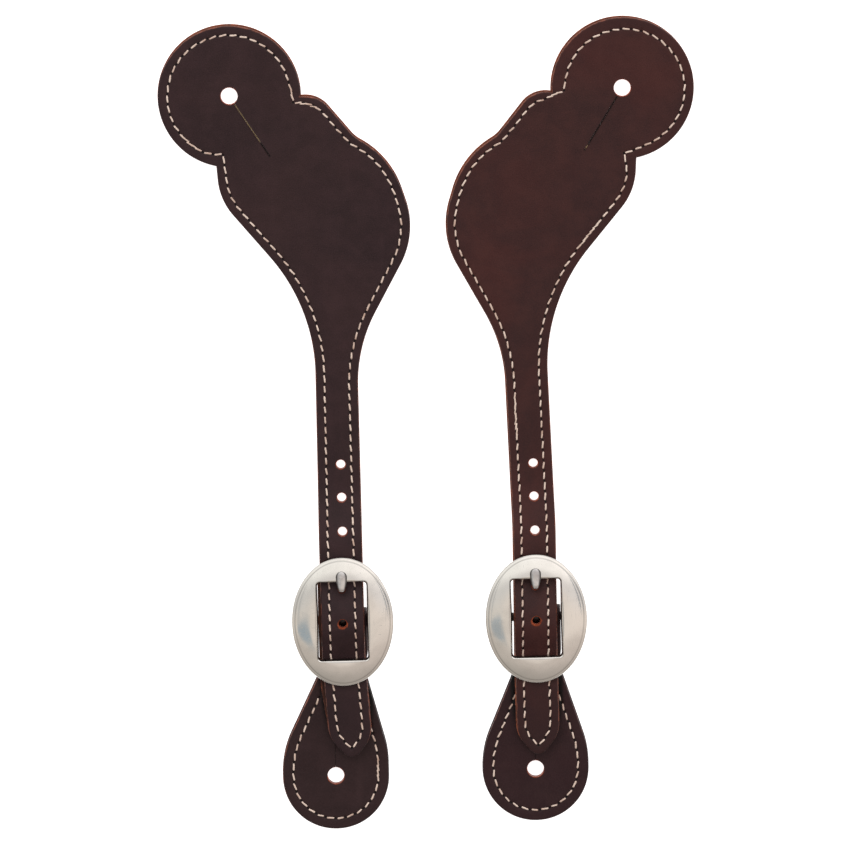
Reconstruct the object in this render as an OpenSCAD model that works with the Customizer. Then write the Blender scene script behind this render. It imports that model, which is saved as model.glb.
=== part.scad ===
// A mirrored pair of western spur straps lying flat, grain side up.
// Each has a long strap with a wide body and a round tab, buckled to a short teardrop strap.
// One strap is drawn round its own buckle bar: x = 0 is the strap's middle, y = 0 the bar's
// axis, +y runs to the round tab and -x is the side that the tab leans to.

/* [Pair] */
// Distance from the middle of the pair to each buckle's middle
bar_x = 35.7; // [32:0.1:60]
// Distance that the right strap lies nearer the teardrops' side than the left one
right_low = 0.65; // [0:0.05:2]

/* [Leather] */
// Width of the narrow strap, a 5/8 inch strap
strap_w = 16; // [15:0.5:17]
// Thickness of each of the long strap's two plies
ply_t = 1.7; // [1.4:0.1:1.7]
// Thickness of the short strap's leather, which is folded in two
fold_t = 2; // [1.6:0.1:2]

/* [Round tab] */
// Radius of the round tab
tab_r = 26.3; // [24:0.1:28]
// Distance from the buckle bar to the tab's middle, along the strap
tab_y = 194.6; // [192:0.1:198]
// Distance that the tab's middle stands off the strap's middle line
tab_x = -36.4; // [-39:0.1:-35]

/* [Holes] */
// Radius of the four button holes
button_r = 3.1; // [2.5:0.1:3.5]
// Width of the slit that lets a spur button into its hole
slit_w = 0.4; // [0.3:0.1:1]
// Radius of the punched holes that the tongue has stretched
punch_r = 2; // [2:0.05:2.2]
// Radius of the open strap holes
open_r = 1.7; // [1.5:0.1:2]
// Distance between the open strap holes
hole_pitch = 12.25; // [12:0.05:13]
// Distance from the bar to the left strap's first open hole
left_first_hole = 33.2; // [32:0.1:35]
// Distance from the bar to the right strap's first open hole
right_first_hole = 32.5; // [32:0.1:35]
// Distance that the left strap's open holes stand off its middle
left_hole_x = 0.8; // [-1:0.1:1]
// Distance that the right strap's open holes stand off its middle
right_hole_x = -0.3; // [-1:0.1:1]

/* [Short strap] */
// Radius of the teardrop's round end
drop_r = 19.7; // [18:0.1:21]
// Distance from the bar to the end of the left teardrop
left_drop_end = 78.4; // [76:0.1:80]
// Distance from the bar to the end of the right teardrop
right_drop_end = 76.5; // [76:0.1:80]
// Distance from the bar to the left teardrop's button hole
left_drop_hole = 58.3; // [56:0.1:59]
// Distance from the bar to the right teardrop's button hole
right_drop_hole = 57; // [56:0.1:59]
// Sideways lean of the left teardrop at its hole
left_drop_lean = -4.1; // [-5:0.1:5]
// Sideways lean of the right teardrop at its hole
right_drop_lean = 1.5; // [-5:0.1:5]
// Distance that the left short strap's fold stands off the bar's middle
left_fold_x = 1; // [-1:0.1:1]
// Distance that the right short strap's fold stands off the bar's middle
right_fold_x = -1; // [-1:0.1:1]
// Sideways lean of the left strap's pointed tip
left_tail_lean = 2.3; // [-3:0.1:3]
// Sideways lean of the right strap's pointed tip
right_tail_lean = -0.2; // [-3:0.1:3]
// Distance that the left tail stands off the bar's middle
left_sway = 0; // [-1:0.1:1]
// Distance that the right tail stands off the bar's middle
right_sway = 0.5; // [-1:0.1:1]
// Sideways bow of the left strap's neck
left_bow = 0; // [-2:0.1:2]
// Sideways bow of the right strap's neck
right_bow = 1.7; // [-2:0.1:2]

/* [Buckle] */
// Width of the oval frame
frame_w = 37.4; // [36:0.1:40]
// Length of the oval frame
frame_l = 47.8; // [46:0.1:50]
// Thickness of the domed frame at its crown
frame_t = 3; // [2.5:0.1:3.2]
// Width of the frame's window
window_w = 18.5; // [18.4:0.1:19]
// Length of the frame's window
window_l = 29; // [28.8:0.1:29.4]
// Distance that the window stands off the frame's middle, towards the tab
window_y = 0.45; // [0:0.05:0.5]
// Radius of the centre bar
bar_r = 1.6; // [1.5:0.05:1.6]
// Thickness of the tongue
tongue_t = 1.5; // [1.3:0.1:1.5]

/* [Stitching] */
// Distance between stitches
stitch_pitch = 3.8; // [3.4:0.1:4.4]
// Distance from the edge of the long strap to its stitching
stitch_inset = 3.3; // [2.5:0.1:3.5]
// Distance from the edge of the teardrop to its stitching
drop_inset = 4; // [3:0.1:4.5]

/* [Hidden] */
$fn = 64;
dark_leather = "#3c2a2b";
lining_leather = "#6b4031";
cream_thread = "#d7c3aa";
silver = "#d6d2cc";
dull_steel = "#6f6f72";

arc_step = 2.5;             // longest chord of a rounded corner
half_w = strap_w / 2;
pair_y = (left_drop_end - tab_y - tab_r) / 2;    // puts the origin under the middle of the left strap

// Running and lying gaps
run_gap = 0.05;             // pin in its bore
soft_gap = 0.3;             // leather lying on leather
link_gap = 0.1;             // half the gap between two links of one strap
stitch_h = 0.3;
stitch_w = 0.7;
stitch_l = 3;

// Heights, from the surface that the straps lie on
fold_r = bar_r + run_gap + fold_t;          // outer radius of the fold round the bar
bar_z = fold_r;
drop_t = 2 * fold_t;                        // the teardrop is two plies thick
nose = 0.8;                                 // slack of the fold, in front of the bar
strap_t = 2 * ply_t;
lie_z = drop_t + stitch_h + soft_gap;       // the strap's underside over the teardrop
hump_z = 2 * fold_r + 1;                    // the strap's underside over the bar
frame_z = lie_z + strap_t + stitch_h + 0.8; // the frame's underside
frame_top = frame_z + frame_t;

// Places along the strap
neck_y = 88;                // the wide body bends here
fold_y = -27;               // the loose tail bends here
floor_y = 50;               // nearer the buckle than this, the strap leaves the surface
under_y = [26, 17];         // it lies level here, below the frame's upper end
hump_y = 1.5;               // half the length of the crown over the bar
drop_y = -14;               // it comes down to the teardrop here
low_y = -43.6;              // the tail narrows from here
tail_tip = -53.1;           // the corner that the rounded tip is drawn from
tongue_y = 12.1;            // the strap hole that the tongue is in
bar_hole_y = -0.4;          // this one is over the bar
spare_y = 20.7;             // and this one is under the frame

// One strap's own figures:
// [tail's lean, neck's bow, first open hole, its x, teardrop's lean, its end, the fold's x,
// the teardrop's hole, the tail's sway]
left_strap = [left_tail_lean, left_bow, left_first_hole, left_hole_x,
              left_drop_lean, left_drop_end, left_fold_x, left_drop_hole, left_sway];
right_strap = [right_tail_lean, right_bow, right_first_hole, right_hole_x,
               right_drop_lean, right_drop_end, right_fold_x, right_drop_hole, right_sway];
function tail_lean(strap) = strap[0];
function bow(strap) = strap[1];
function first_hole(strap) = strap[2];
function hole_x(strap) = strap[3];
function drop_lean(strap) = strap[4];
function drop_end(strap) = strap[5];
function fold_x(strap) = strap[6];
function drop_hole(strap) = strap[7];
function sway(strap) = strap[8];

// ---- outlines: corners are [x, y, radius] ----
function xy(p) = [p.x, p.y];
function unit(v) = v / norm(v);
function corner(a, b, c) =
    let (u = unit(xy(a) - xy(b)), v = unit(xy(c) - xy(b)), half = acos(max(-1, min(1, u * v))) / 2)
    half > 89.9 ? [xy(b)] :
    let (centre = xy(b) + unit(u + v) * b.z / sin(half),
         from = xy(b) + u * b.z / tan(half) - centre,
         to = xy(b) + v * b.z / tan(half) - centre,
         start = atan2(from.y, from.x),
         turn = (atan2(to.y, to.x) - start + 540) % 360 - 180,
         steps = max(2, ceil(abs(turn) * b.z * PI / 180 / arc_step)))
    [for (i = [0:steps]) centre + b.z * [cos(start + turn * i / steps), sin(start + turn * i / steps)]];
function rounded(p) =
    let (q = [xy(p[0]), for (i = [1:len(p) - 2]) each corner(p[i - 1], p[i], p[i + 1]),
              xy(p[len(p) - 1])])
    [for (i = [0:len(q) - 1]) if (i == 0 || norm(q[i] - q[i - 1]) > 0.01) q[i]];

// The long strap without its round tab: up the right side of the tail tip, over the lobe
// to the tab, then back down the other side.
function tail_x(y, strap) = tail_lean(strap) * max(0, drop_y - y) / (drop_y - tail_tip);
function bow_x(y, strap) = y < 0 ? sway(strap) : bow(strap) * (y < 40 ? 0 : y < 125 ? 1 : 0.6);
function tip_x(strap) = tail_lean(strap) + sway(strap);
function tab_middle(strap) = [tab_x + 0.15 * bow(strap), tab_y];
function bowed(points, strap) = [for (p = points) [p.x + bow_x(p.y, strap), p.y, p.z]];
function strap_right(strap) = bowed([
    [tail_lean(strap), tail_tip, 4],
    [half_w + tail_x(low_y, strap), low_y, 12],
    [half_w, drop_y, 60],
    [half_w, 34.5, 150],
    [half_w, 101, 56],
    [31.2, 142.5, 30],
    [22.2, 171, 32.5],
    [9.2, 178.8, 11.5],
    [-4.9, 196, 11],
    [-20, 191.5, 0]], strap);
function strap_left(strap) = bowed([
    [-42.2, 174.5, 0],
    [-41.1, 156.5, 23],
    [-half_w + 0.5, 116, 68],
    [-half_w, 34.5, 150],
    [-half_w, drop_y, 60],
    [-half_w + tail_x(low_y, strap), low_y, 12],
    [tail_lean(strap), tail_tip, 4]], strap);
// Both sides start and end half way round the tip
function side_right(strap) =
    let (p = strap_right(strap), left = strap_left(strap), c = corner(left[len(left) - 2], p[0], p[1]))
    [for (q = c) if (q.x >= tip_x(strap)) q,
     for (i = [1:len(p) - 2]) each corner(p[i - 1], p[i], p[i + 1]),
     xy(p[len(p) - 1])];
function side_left(strap) =
    let (p = strap_left(strap), n = len(p) - 1, c = corner(p[n - 1], p[n], strap_right(strap)[1]))
    [xy(p[0]),
     for (i = [1:n - 1]) each corner(p[i - 1], p[i], p[i + 1]),
     for (q = c) if (q.x <= tip_x(strap)) q];

// The short strap from its fold, round the teardrop
function drop_x(y, strap) =
    y > -15 ? fold_x(strap) : y > -25 ? (drop_lean(strap) + 2 * fold_x(strap)) / 4 : drop_lean(strap);
function drop_outline(strap) =
    let (a = half_w, d = drop_r, e = -drop_end(strap), r = drop_r - 0.05,
         p = [[a, 6, 0], [a, -13, 12], [a, -18, 12], [d, -49, 36], [d, e, r],
              [-d, e, r], [-d, -49, 36], [-a, -18, 12], [-a, -13, 12], [-a, 6, 0]])
    rounded([for (q = p) [q.x + drop_x(q.y, strap), q.y, q.z]]);

// ---- side profiles: heights along the strap ----
function ease(t) = let (c = max(0, min(1, t))) c * c * (3 - 2 * c);
function strap_z(y) =
    y > under_y[1] ? lie_z * ease((floor_y - y) / (floor_y - under_y[0]))
    : y > 0 ? lie_z + (hump_z - lie_z) * ease((under_y[1] - y) / (under_y[1] - hump_y))
    : lie_z + (hump_z - lie_z) * ease((y - drop_y) / (-hump_y - drop_y));
// Stations between two places, close together only where the strap curves
function stations(y0, y1) =
    let (s = [for (i = [0:8]) drop_y + i * (-hump_y - drop_y) / 8,
              for (i = [0:10]) hump_y + i * (under_y[1] - hump_y) / 10,
              for (i = [0:8]) under_y[0] + i * (floor_y - under_y[0]) / 8])
    [y0, for (y = s) if (y > y0 + 0.01 && y < y1 - 0.01) y, y1];

module side_slab(points) {
    rotate([90, 0, 90])
        translate([0, 0, -100])
            linear_extrude(200)
                polygon(points);
}

module long_ply(y0, y1, low, strap) {
    ys = stations(y0, y1);
    intersection() {
        union() {
            translate([0, 0, -1])
                linear_extrude(30)
                    polygon([each side_right(strap), each side_left(strap)]);
            if (y1 > neck_y)
                translate([each tab_middle(strap), -1])
                    cylinder(h = 30, r = tab_r, $fn = 96);
        }
        side_slab([for (y = ys) [y, strap_z(y) + low],
                   for (i = [len(ys) - 1:-1:0]) [ys[i], strap_z(ys[i]) + low + ply_t]]);
    }
}

module hole(x, y, r) {
    translate([x, y, -1])
        cylinder(h = 30, r = r);
}

module slit(x, y, length, angle) {
    translate([x, y, -1])
        rotate([0, 0, angle])
            translate([0, -slit_w / 2, 0])
                cube([length, slit_w, 30]);
}

// ---- stitching: short threads laid end to end along a line inside the edge ----
function inset(p, d) =
    [for (i = [0:len(p) - 1])
        let (t = unit(p[min(i + 1, len(p) - 1)] - p[max(i - 1, 0)]))
        p[i] + d * [-t.y, t.x]];
function off_tab(p, strap) = norm(p - tab_middle(strap)) > tab_r - stitch_inset;
function lengths(p) =
    [for (i = 0, s = 0; i < len(p); s = s + (i < len(p) - 1 ? norm(p[i + 1] - p[i]) : 0), i = i + 1) s];
function at(p, s, d) =
    let (k = [for (i = [0:len(p) - 2]) if (s[i] <= d && d < s[i + 1]) i][0],
         t = unit(p[k + 1] - p[k]))
    [each (p[k] + t * (d - s[k])), atan2(t.y, t.x)];
function stitches(p) =
    let (s = lengths(p), total = s[len(s) - 1], n = round(total / stitch_pitch))
    [for (i = [0:n - 1]) at(p, s, total * (i + 0.5) / n)];
function tab_arc(from, to, strap) =
    let (c = tab_middle(strap), a = atan2(from.y - c.y, from.x - c.x), b = atan2(to.y - c.y, to.x - c.x) + 360)
    [for (i = [0:48])
        let (t = a + (b - a) * i / 48)
        c + (tab_r - stitch_inset) * [cos(t), sin(t)]];
function long_stitches(strap) =
    let (right = [for (p = inset(side_right(strap), stitch_inset)) if (off_tab(p, strap)) p],
         left = [for (p = inset(side_left(strap), stitch_inset)) if (off_tab(p, strap)) p])
    [each stitches(right),
     each stitches(tab_arc(right[len(right) - 1], left[0], strap)),
     each stitches(left)];

module stitch(p, z, slope) {
    translate([p.x, p.y, z])
        rotate([slope, 0, 0])
            rotate([0, 0, p.z])
                translate([-stitch_l / 2, -stitch_w / 2, 0])
                    cube([stitch_l, stitch_w, stitch_h]);
}

// A stitch bridges the hollows of a curved strap, a hair above its surface
function bridge_z(y) =
    let (back = strap_z(y - stitch_l / 2), front = strap_z(y + stitch_l / 2), mid = strap_z(y),
         bend = abs(back + front - 2 * mid))
    max(mid, (back + front) / 2) + (bend > 0.001 ? 0.06 : 0);

module long_thread(y0, y1, strap) {
    margin = stitch_l / 2 + link_gap;
    for (p = long_stitches(strap))
        if (p.y > y0 + margin && p.y < y1 - margin) {
            rise = strap_z(p.y + stitch_l / 2) - strap_z(p.y - stitch_l / 2);
            stitch(p, bridge_z(p.y) + strap_t, atan(rise / stitch_l));
        }
}

// ---- the long strap, in three links that bend at the neck and at the tail ----
module tab_ply(low, strap) {
    c = tab_middle(strap);
    difference() {
        long_ply(neck_y + link_gap, tab_y + tab_r, low, strap);
        hole(c.x, c.y, button_r);
        slit(c.x, c.y, 26.5, -57.5);
    }
}

module strap_ply(low, strap) {
    difference() {
        long_ply(fold_y + link_gap, neck_y - link_gap, low, strap);
        for (y = [bar_hole_y, tongue_y, spare_y])
            hole(0, y, punch_r);
        for (i = [0:2])
            hole(hole_x(strap), first_hole(strap) + i * hole_pitch, open_r);
    }
}

module tail_ply(low, strap) {
    long_ply(tail_tip, fold_y - link_gap, low, strap);
}

module tab_leather(strap) { color(dark_leather) tab_ply(ply_t, strap); }
module tab_lining(strap) { color(lining_leather) tab_ply(0, strap); }
module tab_thread(strap) { color(cream_thread) long_thread(neck_y, tab_y + tab_r, strap); }
module strap_leather(strap) { color(dark_leather) strap_ply(ply_t, strap); }
module strap_lining(strap) { color(lining_leather) strap_ply(0, strap); }
module strap_thread(strap) { color(cream_thread) long_thread(fold_y, neck_y, strap); }
module tail_leather(strap) { color(dark_leather) tail_ply(ply_t, strap); }
module tail_lining(strap) { color(lining_leather) tail_ply(0, strap); }
module tail_thread(strap) { color(cream_thread) long_thread(tail_tip, fold_y, strap); }

// ---- the short strap: one piece folded round the bar and stitched to itself ----
fold_top = 2 * fold_r;
join_y = -13;               // the two plies meet here
sewn_y = -28;               // and are sewn together from here
function fold_z(y) = drop_t + (fold_top - drop_t) * ease((y - join_y) / (-1 - join_y));
fold_ys = [for (i = [0:10]) join_y + i * (-1 - join_y) / 10];

module short_strap(strap) {
    color(dark_leather)
        difference() {
            intersection() {
                translate([0, 0, -1])
                    linear_extrude(30)
                        polygon(drop_outline(strap));
                side_slab([[-drop_end(strap) - 1, 0],
                           for (a = [-90:15:90]) [nose + fold_r * cos(a), bar_z + fold_r * sin(a)],
                           for (i = [10:-1:0]) [fold_ys[i], fold_z(fold_ys[i])],
                           [-drop_end(strap) - 1, drop_t]]);
            }
            side_slab([[0, fold_t], [0, fold_top - fold_t],
                       for (i = [10:-1:0]) [fold_ys[i], fold_z(fold_ys[i]) - fold_t]]);
            translate([-20, 0, bar_z])
                rotate([0, 90, 0])
                    cylinder(h = 40, r = bar_r + run_gap);
            translate([-1.8, -4.5, -1])         // slot for the tongue
                cube([3.6, 12, 30]);
            hole(drop_lean(strap), -drop_hole(strap), button_r);
            slit(drop_lean(strap), -drop_hole(strap), 18, 90);
        }
}

module short_strap_thread(strap) {
    color(cream_thread)
        for (p = stitches([for (q = inset(drop_outline(strap), -drop_inset)) if (q.y < sewn_y) q]))
            stitch(p, drop_t, 0);
}

// ---- the buckle ----
lug_t = 2;
lug_r = 2.6;
dome_steps = 4;

module oval(shrink, h) {
    linear_extrude(h)
        polygon([for (a = [0:5:355]) [(frame_w / 2 - shrink) * cos(a), (frame_l / 2 - shrink) * sin(a)]]);
}

module buckle_frame() {
    w = window_w / 2;
    l = window_l / 2;
    color(silver)
        difference() {
            union() {
                for (i = [0:dome_steps - 1])    // the dome, in steps
                    translate([0, 0, frame_z])
                        oval(3 * (1 - sqrt(1 - pow(i / dome_steps, 2))), frame_t * (i + 1) / dome_steps);
                for (s = [-1, 1])
                    translate([s * (w + lug_t / 2) - lug_t / 2, 0, bar_z]) {
                        rotate([0, 90, 0])
                            cylinder(h = lug_t, r = lug_r);
                        translate([0, -lug_r, 0])
                            cube([lug_t, 2 * lug_r, frame_z + 1 - bar_z]);
                    }
            }
            translate([0, window_y, frame_z - 1])
                linear_extrude(frame_t + 2)
                    polygon(rounded([[0, -l, 0], [w, -l, 1.3], [w, l, 1.3], [-w, l, 1.3], [-w, -l, 1.3],
                                     [-1, -l, 0]]));
            translate([-w - lug_t - 1, 0, bar_z])
                rotate([0, 90, 0])
                    cylinder(h = window_w + 2 * lug_t + 2, r = bar_r);
        }
}

module buckle_bar() {
    color(dull_steel)
        translate([-window_w / 2 - lug_t, 0, bar_z])
            rotate([0, 90, 0])
                cylinder(h = window_w + 2 * lug_t, r = bar_r);
}

// The tongue loops round the bar, runs under the strap, comes up through the strap hole
// along an arc round the bar, and ends in a drop that rests on the frame.
shank_w = 2.2;
loop_w = 3;
hole_arc = 12.9;            // radius of that arc, to the middle of the tongue
leg_y = 11.9;
tip_y = 19.2;
tip_r = 2.25;

module across(w) {
    translate([0, 0, bar_z])
        rotate([90, 0, 90])
            translate([0, 0, -w / 2])
                linear_extrude(w)
                    children();
}

module tongue() {
    t = tongue_t;
    leg_top = frame_top + run_gap + t - bar_z;
    color(silver) {
        difference() {
            union() {
                translate([-loop_w / 2, 0, bar_z])
                    rotate([0, 90, 0])
                        cylinder(h = loop_w, r = bar_r + run_gap + t);
                across(shank_w)
                    translate([2, -t])
                        square([hole_arc - 2, t]);
                intersection() {
                    translate([-shank_w / 2, 0, bar_z])
                        rotate([0, 90, 0])
                            difference() {
                                cylinder(h = shank_w, r = hole_arc + t / 2);
                                translate([0, 0, -1])
                                    cylinder(h = shank_w + 2, r = hole_arc - t / 2);
                            }
                    across(shank_w + 2)
                        polygon([[0, 0], [20 * cos(-6), 20 * sin(-6)], [20 * cos(23), 20 * sin(23)]]);
                }
                across(shank_w)
                    translate([leg_y - t / 2, 4.6])
                        square([t, leg_top - 4.6]);
                translate([0, 0, frame_top + run_gap]) {
                    translate([0, tip_y - tip_r, 0])
                        cylinder(h = t, r = tip_r);
                    linear_extrude(t)
                        polygon([[-shank_w / 2, leg_y - t / 2], [shank_w / 2, leg_y - t / 2],
                                 [tip_r * cos(8), tip_y - tip_r - tip_r * sin(8)],
                                 [-tip_r * cos(8), tip_y - tip_r - tip_r * sin(8)]]);
                }
            }
            translate([-10, 0, bar_z])
                rotate([0, 90, 0])
                    cylinder(h = 20, r = bar_r + run_gap);
        }
    }
}

// ---- the pair ----
module left() {
    translate([-bar_x, pair_y, 0])
        children();
}
module right() {
    translate([0, -right_low, 0])
        mirror([1, 0, 0])
            left()
                children();
}

left() tab_leather(left_strap);  // left_tab_leather
left() tab_lining(left_strap);  // left_tab_lining
left() tab_thread(left_strap);  // left_tab_thread
left() strap_leather(left_strap);  // left_strap_leather
left() strap_lining(left_strap);  // left_strap_lining
left() strap_thread(left_strap);  // left_strap_thread
left() tail_leather(left_strap);  // left_tail_leather
left() tail_lining(left_strap);  // left_tail_lining
left() tail_thread(left_strap);  // left_tail_thread
left() short_strap(left_strap);  // left_short_strap
left() short_strap_thread(left_strap);  // left_short_strap_thread
left() buckle_frame();  // left_buckle_frame
left() buckle_bar();  // left_buckle_bar
left() tongue();  // left_tongue
right() tab_leather(right_strap);  // right_tab_leather
right() tab_lining(right_strap);  // right_tab_lining
right() tab_thread(right_strap);  // right_tab_thread
right() strap_leather(right_strap);  // right_strap_leather
right() strap_lining(right_strap);  // right_strap_lining
right() strap_thread(right_strap);  // right_strap_thread
right() tail_leather(right_strap);  // right_tail_leather
right() tail_lining(right_strap);  // right_tail_lining
right() tail_thread(right_strap);  // right_tail_thread
right() short_strap(right_strap);  // right_short_strap
right() short_strap_thread(right_strap);  // right_short_strap_thread
right() buckle_frame();  // right_buckle_frame
right() buckle_bar();  // right_buckle_bar
right() tongue();  // right_tongue
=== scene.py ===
"""The looks of a mirrored pair of western spur straps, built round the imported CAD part.

Each strap is drawn in its own flat coordinates, in millimetres: x = 0 is the strap's middle, y = 0 the
buckle bar's axis, +y runs to the round tab and -x is the side that the tab leans to. A third number is
the height above the surface that the strap lies on. `Side.place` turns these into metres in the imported
part's own frame.
"""

import math
import random

import bmesh
import bpy
import numpy as np
from mathutils import Matrix, Vector, noise
from mathutils.geometry import delaunay_2d_cdt


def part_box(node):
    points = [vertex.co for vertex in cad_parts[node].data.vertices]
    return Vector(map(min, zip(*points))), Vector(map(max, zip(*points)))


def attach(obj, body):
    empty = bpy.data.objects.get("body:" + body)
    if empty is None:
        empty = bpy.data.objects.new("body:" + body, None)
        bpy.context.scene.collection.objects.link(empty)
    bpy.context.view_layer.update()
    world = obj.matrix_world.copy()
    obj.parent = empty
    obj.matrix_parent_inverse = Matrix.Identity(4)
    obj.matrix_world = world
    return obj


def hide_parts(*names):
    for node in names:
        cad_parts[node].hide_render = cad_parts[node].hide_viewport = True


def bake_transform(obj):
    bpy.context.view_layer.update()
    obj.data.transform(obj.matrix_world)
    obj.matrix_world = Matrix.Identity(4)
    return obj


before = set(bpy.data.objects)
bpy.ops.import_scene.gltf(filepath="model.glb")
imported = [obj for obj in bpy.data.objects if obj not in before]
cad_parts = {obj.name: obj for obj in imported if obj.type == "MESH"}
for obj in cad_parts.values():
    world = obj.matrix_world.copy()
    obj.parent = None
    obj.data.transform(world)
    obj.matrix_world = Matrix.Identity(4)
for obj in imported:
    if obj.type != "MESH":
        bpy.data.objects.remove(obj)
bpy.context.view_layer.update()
MM = 0.001

# ---- dimensions, in millimetres, as in the CAD part ----
HALF_W = 8.0
PLY_T = 1.7
STRAP_T = 2 * PLY_T
FOLD_T = 2.0
DROP_T = 2 * FOLD_T
TAB_X = -36.4
TAB_Y = 194.6
TAB_R = 26.3
DROP_R = 19.7
SEWN_Y = -28.0
TAIL_TIP = -53.1
TAIL_LOW = -43.6
TAIL_BEND = -14.0
BUTTON_R = 3.1
OPEN_R = 1.7
HOLE_PITCH = 12.25
TAB_SLIT = (26.5, -57.5)
DROP_SLIT = (18.0, 90.0)
PUNCHES = ((-0.4, 1.5), (12.1, 1.25), (20.7, 2.0))  # place and radius of the holes that the tongue uses
# One strap's own figures: the lean and offset of its tail, the bow of its neck, its first open hole and
# how far the open holes stand off the middle, the lean, end and hole of its teardrop, the fold's offset
OWN = {
    "left": {"tail_lean": 2.3, "sway": 0.0, "bow": 0.0, "first_hole": 33.2, "hole_x": 0.8,
             "drop_lean": -4.1, "drop_end": -78.4, "drop_hole": -58.3, "fold_x": 1.0},
    "right": {"tail_lean": -0.2, "sway": 0.5, "bow": 1.7, "first_hole": 32.5, "hole_x": -0.3,
              "drop_lean": 1.5, "drop_end": -76.5, "drop_hole": -57.0, "fold_x": -1.0},
}
SLOT_HALF = 1.6  # the slot in the fold that the tongue's curl stands in: half its width
SLOT_END = -4.5  # and where it ends
BAR_R = 1.6
BAR_Z = 3.65
FOLD_R = 3.65
FOLD_NOSE = 0.8
JOIN_Y = -13.0
LIE_Z = 4.6
HUMP_Z = 8.3
LIFT_FROM = 50.0  # towards the buckle the long strap leaves the surface here
LIFT_RUN = 24.0  # length of that rise
HUMP_FROM = 17.0  # it rises again here, over the bar
HUMP_RUN = 15.5  # length of that rise
TAIL_RUN = 12.5  # length of its fall onto the teardrop, which ends at TAIL_BEND
FRAME_W = 37.4
FRAME_L = 47.8
FRAME_Z = 9.1
FRAME_TOP = 12.1
WINDOW_W = 18.5
WINDOW_L = 29.0
WINDOW_R = 1.3
WINDOW_Y = 0.45
LUG_T = 2.0
LUG_R = 2.6
TONGUE_T = 1.5
TONGUE_W = 2.2
TONGUE_LOOP_W = 3.0
TONGUE_TIP_Y = 19.2
TONGUE_TIP_R = 2.05
TONGUE_TOP = 13.65
HAMMERED = 0.06  # depth of the hammer marks on the tongue
STITCH_PITCH = 3.8
STITCH_INSET = 3.3
DROP_INSET = 4.0

SPLIT_Y = 17.0  # the strap's two halves meet here, under the buckle's upper end
NECK = (104.0, 72.0)  # two places on the wide body
TAIL = (-22.0, -33.0)  # two places on the loose tail
STEP = 0.9  # spacing of mesh points along an edge
GRID = 1.8  # spacing of mesh points inside a sheet
CHUNK = 400  # points that are measured at a time
SLIT_W = 0.14  # the leather closes most of each tab's slit
SHUT_W = 0.05  # and nearly all of a teardrop's


# ---- flat outlines: corners are (x, y, radius) ----
def unit(v):
    return v / np.linalg.norm(v)


def corner(a, b, c, step=STEP):
    """The arc that rounds the corner at b, or b itself where the line is straight or its radius is 0."""
    here = np.array(b[:2], float)
    u, v = unit(np.array(a[:2]) - here), unit(np.array(c[:2]) - here)
    half = math.acos(max(-1.0, min(1.0, float(u @ v)))) / 2
    if b[2] <= 0 or half > math.radians(89.9):
        return [here]
    centre = here + unit(u + v) * b[2] / math.sin(half)
    start = here + u * b[2] / math.tan(half) - centre
    end = here + v * b[2] / math.tan(half) - centre
    a0 = math.atan2(start[1], start[0])
    turn = (math.atan2(end[1], end[0]) - a0 + 3 * math.pi) % (2 * math.pi) - math.pi
    steps = max(2, math.ceil(abs(turn) * b[2] / step))
    angles = [a0 + turn * i / steps for i in range(steps + 1)]
    return [centre + b[2] * np.array([math.cos(t), math.sin(t)]) for t in angles]


def rounded(points, step=STEP):
    """An open line with each inner corner rounded."""
    line = [np.array(points[0][:2], float)]
    for i in range(1, len(points) - 1):
        line += corner(points[i - 1], points[i], points[i + 1], step)
    line.append(np.array(points[-1][:2], float))
    return line


def fine(line, step=STEP):
    """The same open line with extra points on its long stretches and none closer than a third of a step."""
    kept = [line[0]]
    for p in line[1:-1]:
        if np.linalg.norm(p - kept[-1]) > step / 3 and np.linalg.norm(p - line[-1]) > step / 3:
            kept.append(p)
    kept.append(line[-1])
    out = [kept[0]]
    for a, b in zip(kept, kept[1:]):
        n = max(1, math.ceil(np.linalg.norm(b - a) / step - 0.2))
        out += [a + (b - a) * i / n for i in range(1, n + 1)]
    return out


def tail_x(y, lean):
    return lean * max(0.0, TAIL_BEND - y) / (TAIL_BEND - TAIL_TIP)


def bow_x(y, side):
    return side.sway if y < 0 else side.bow * (0 if y < 40 else 1 if y < 125 else 0.6)


def meets_tab(line, centre):
    """The line up to where it first crosses the round tab's edge, ending on the edge."""
    for a, b in zip(line, line[1:]):
        if np.linalg.norm(b - centre) < TAB_R:
            low, high = 0.0, 1.0
            for _ in range(40):
                mid = (low + high) / 2
                within = np.linalg.norm(a + (b - a) * mid - centre) < TAB_R
                low, high = (low, mid) if within else (mid, high)
            end = next(i for i, p in enumerate(line) if p is b)
            return line[:end] + [a + (b - a) * low]
    raise ValueError("the line doesn't reach the tab")


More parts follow.
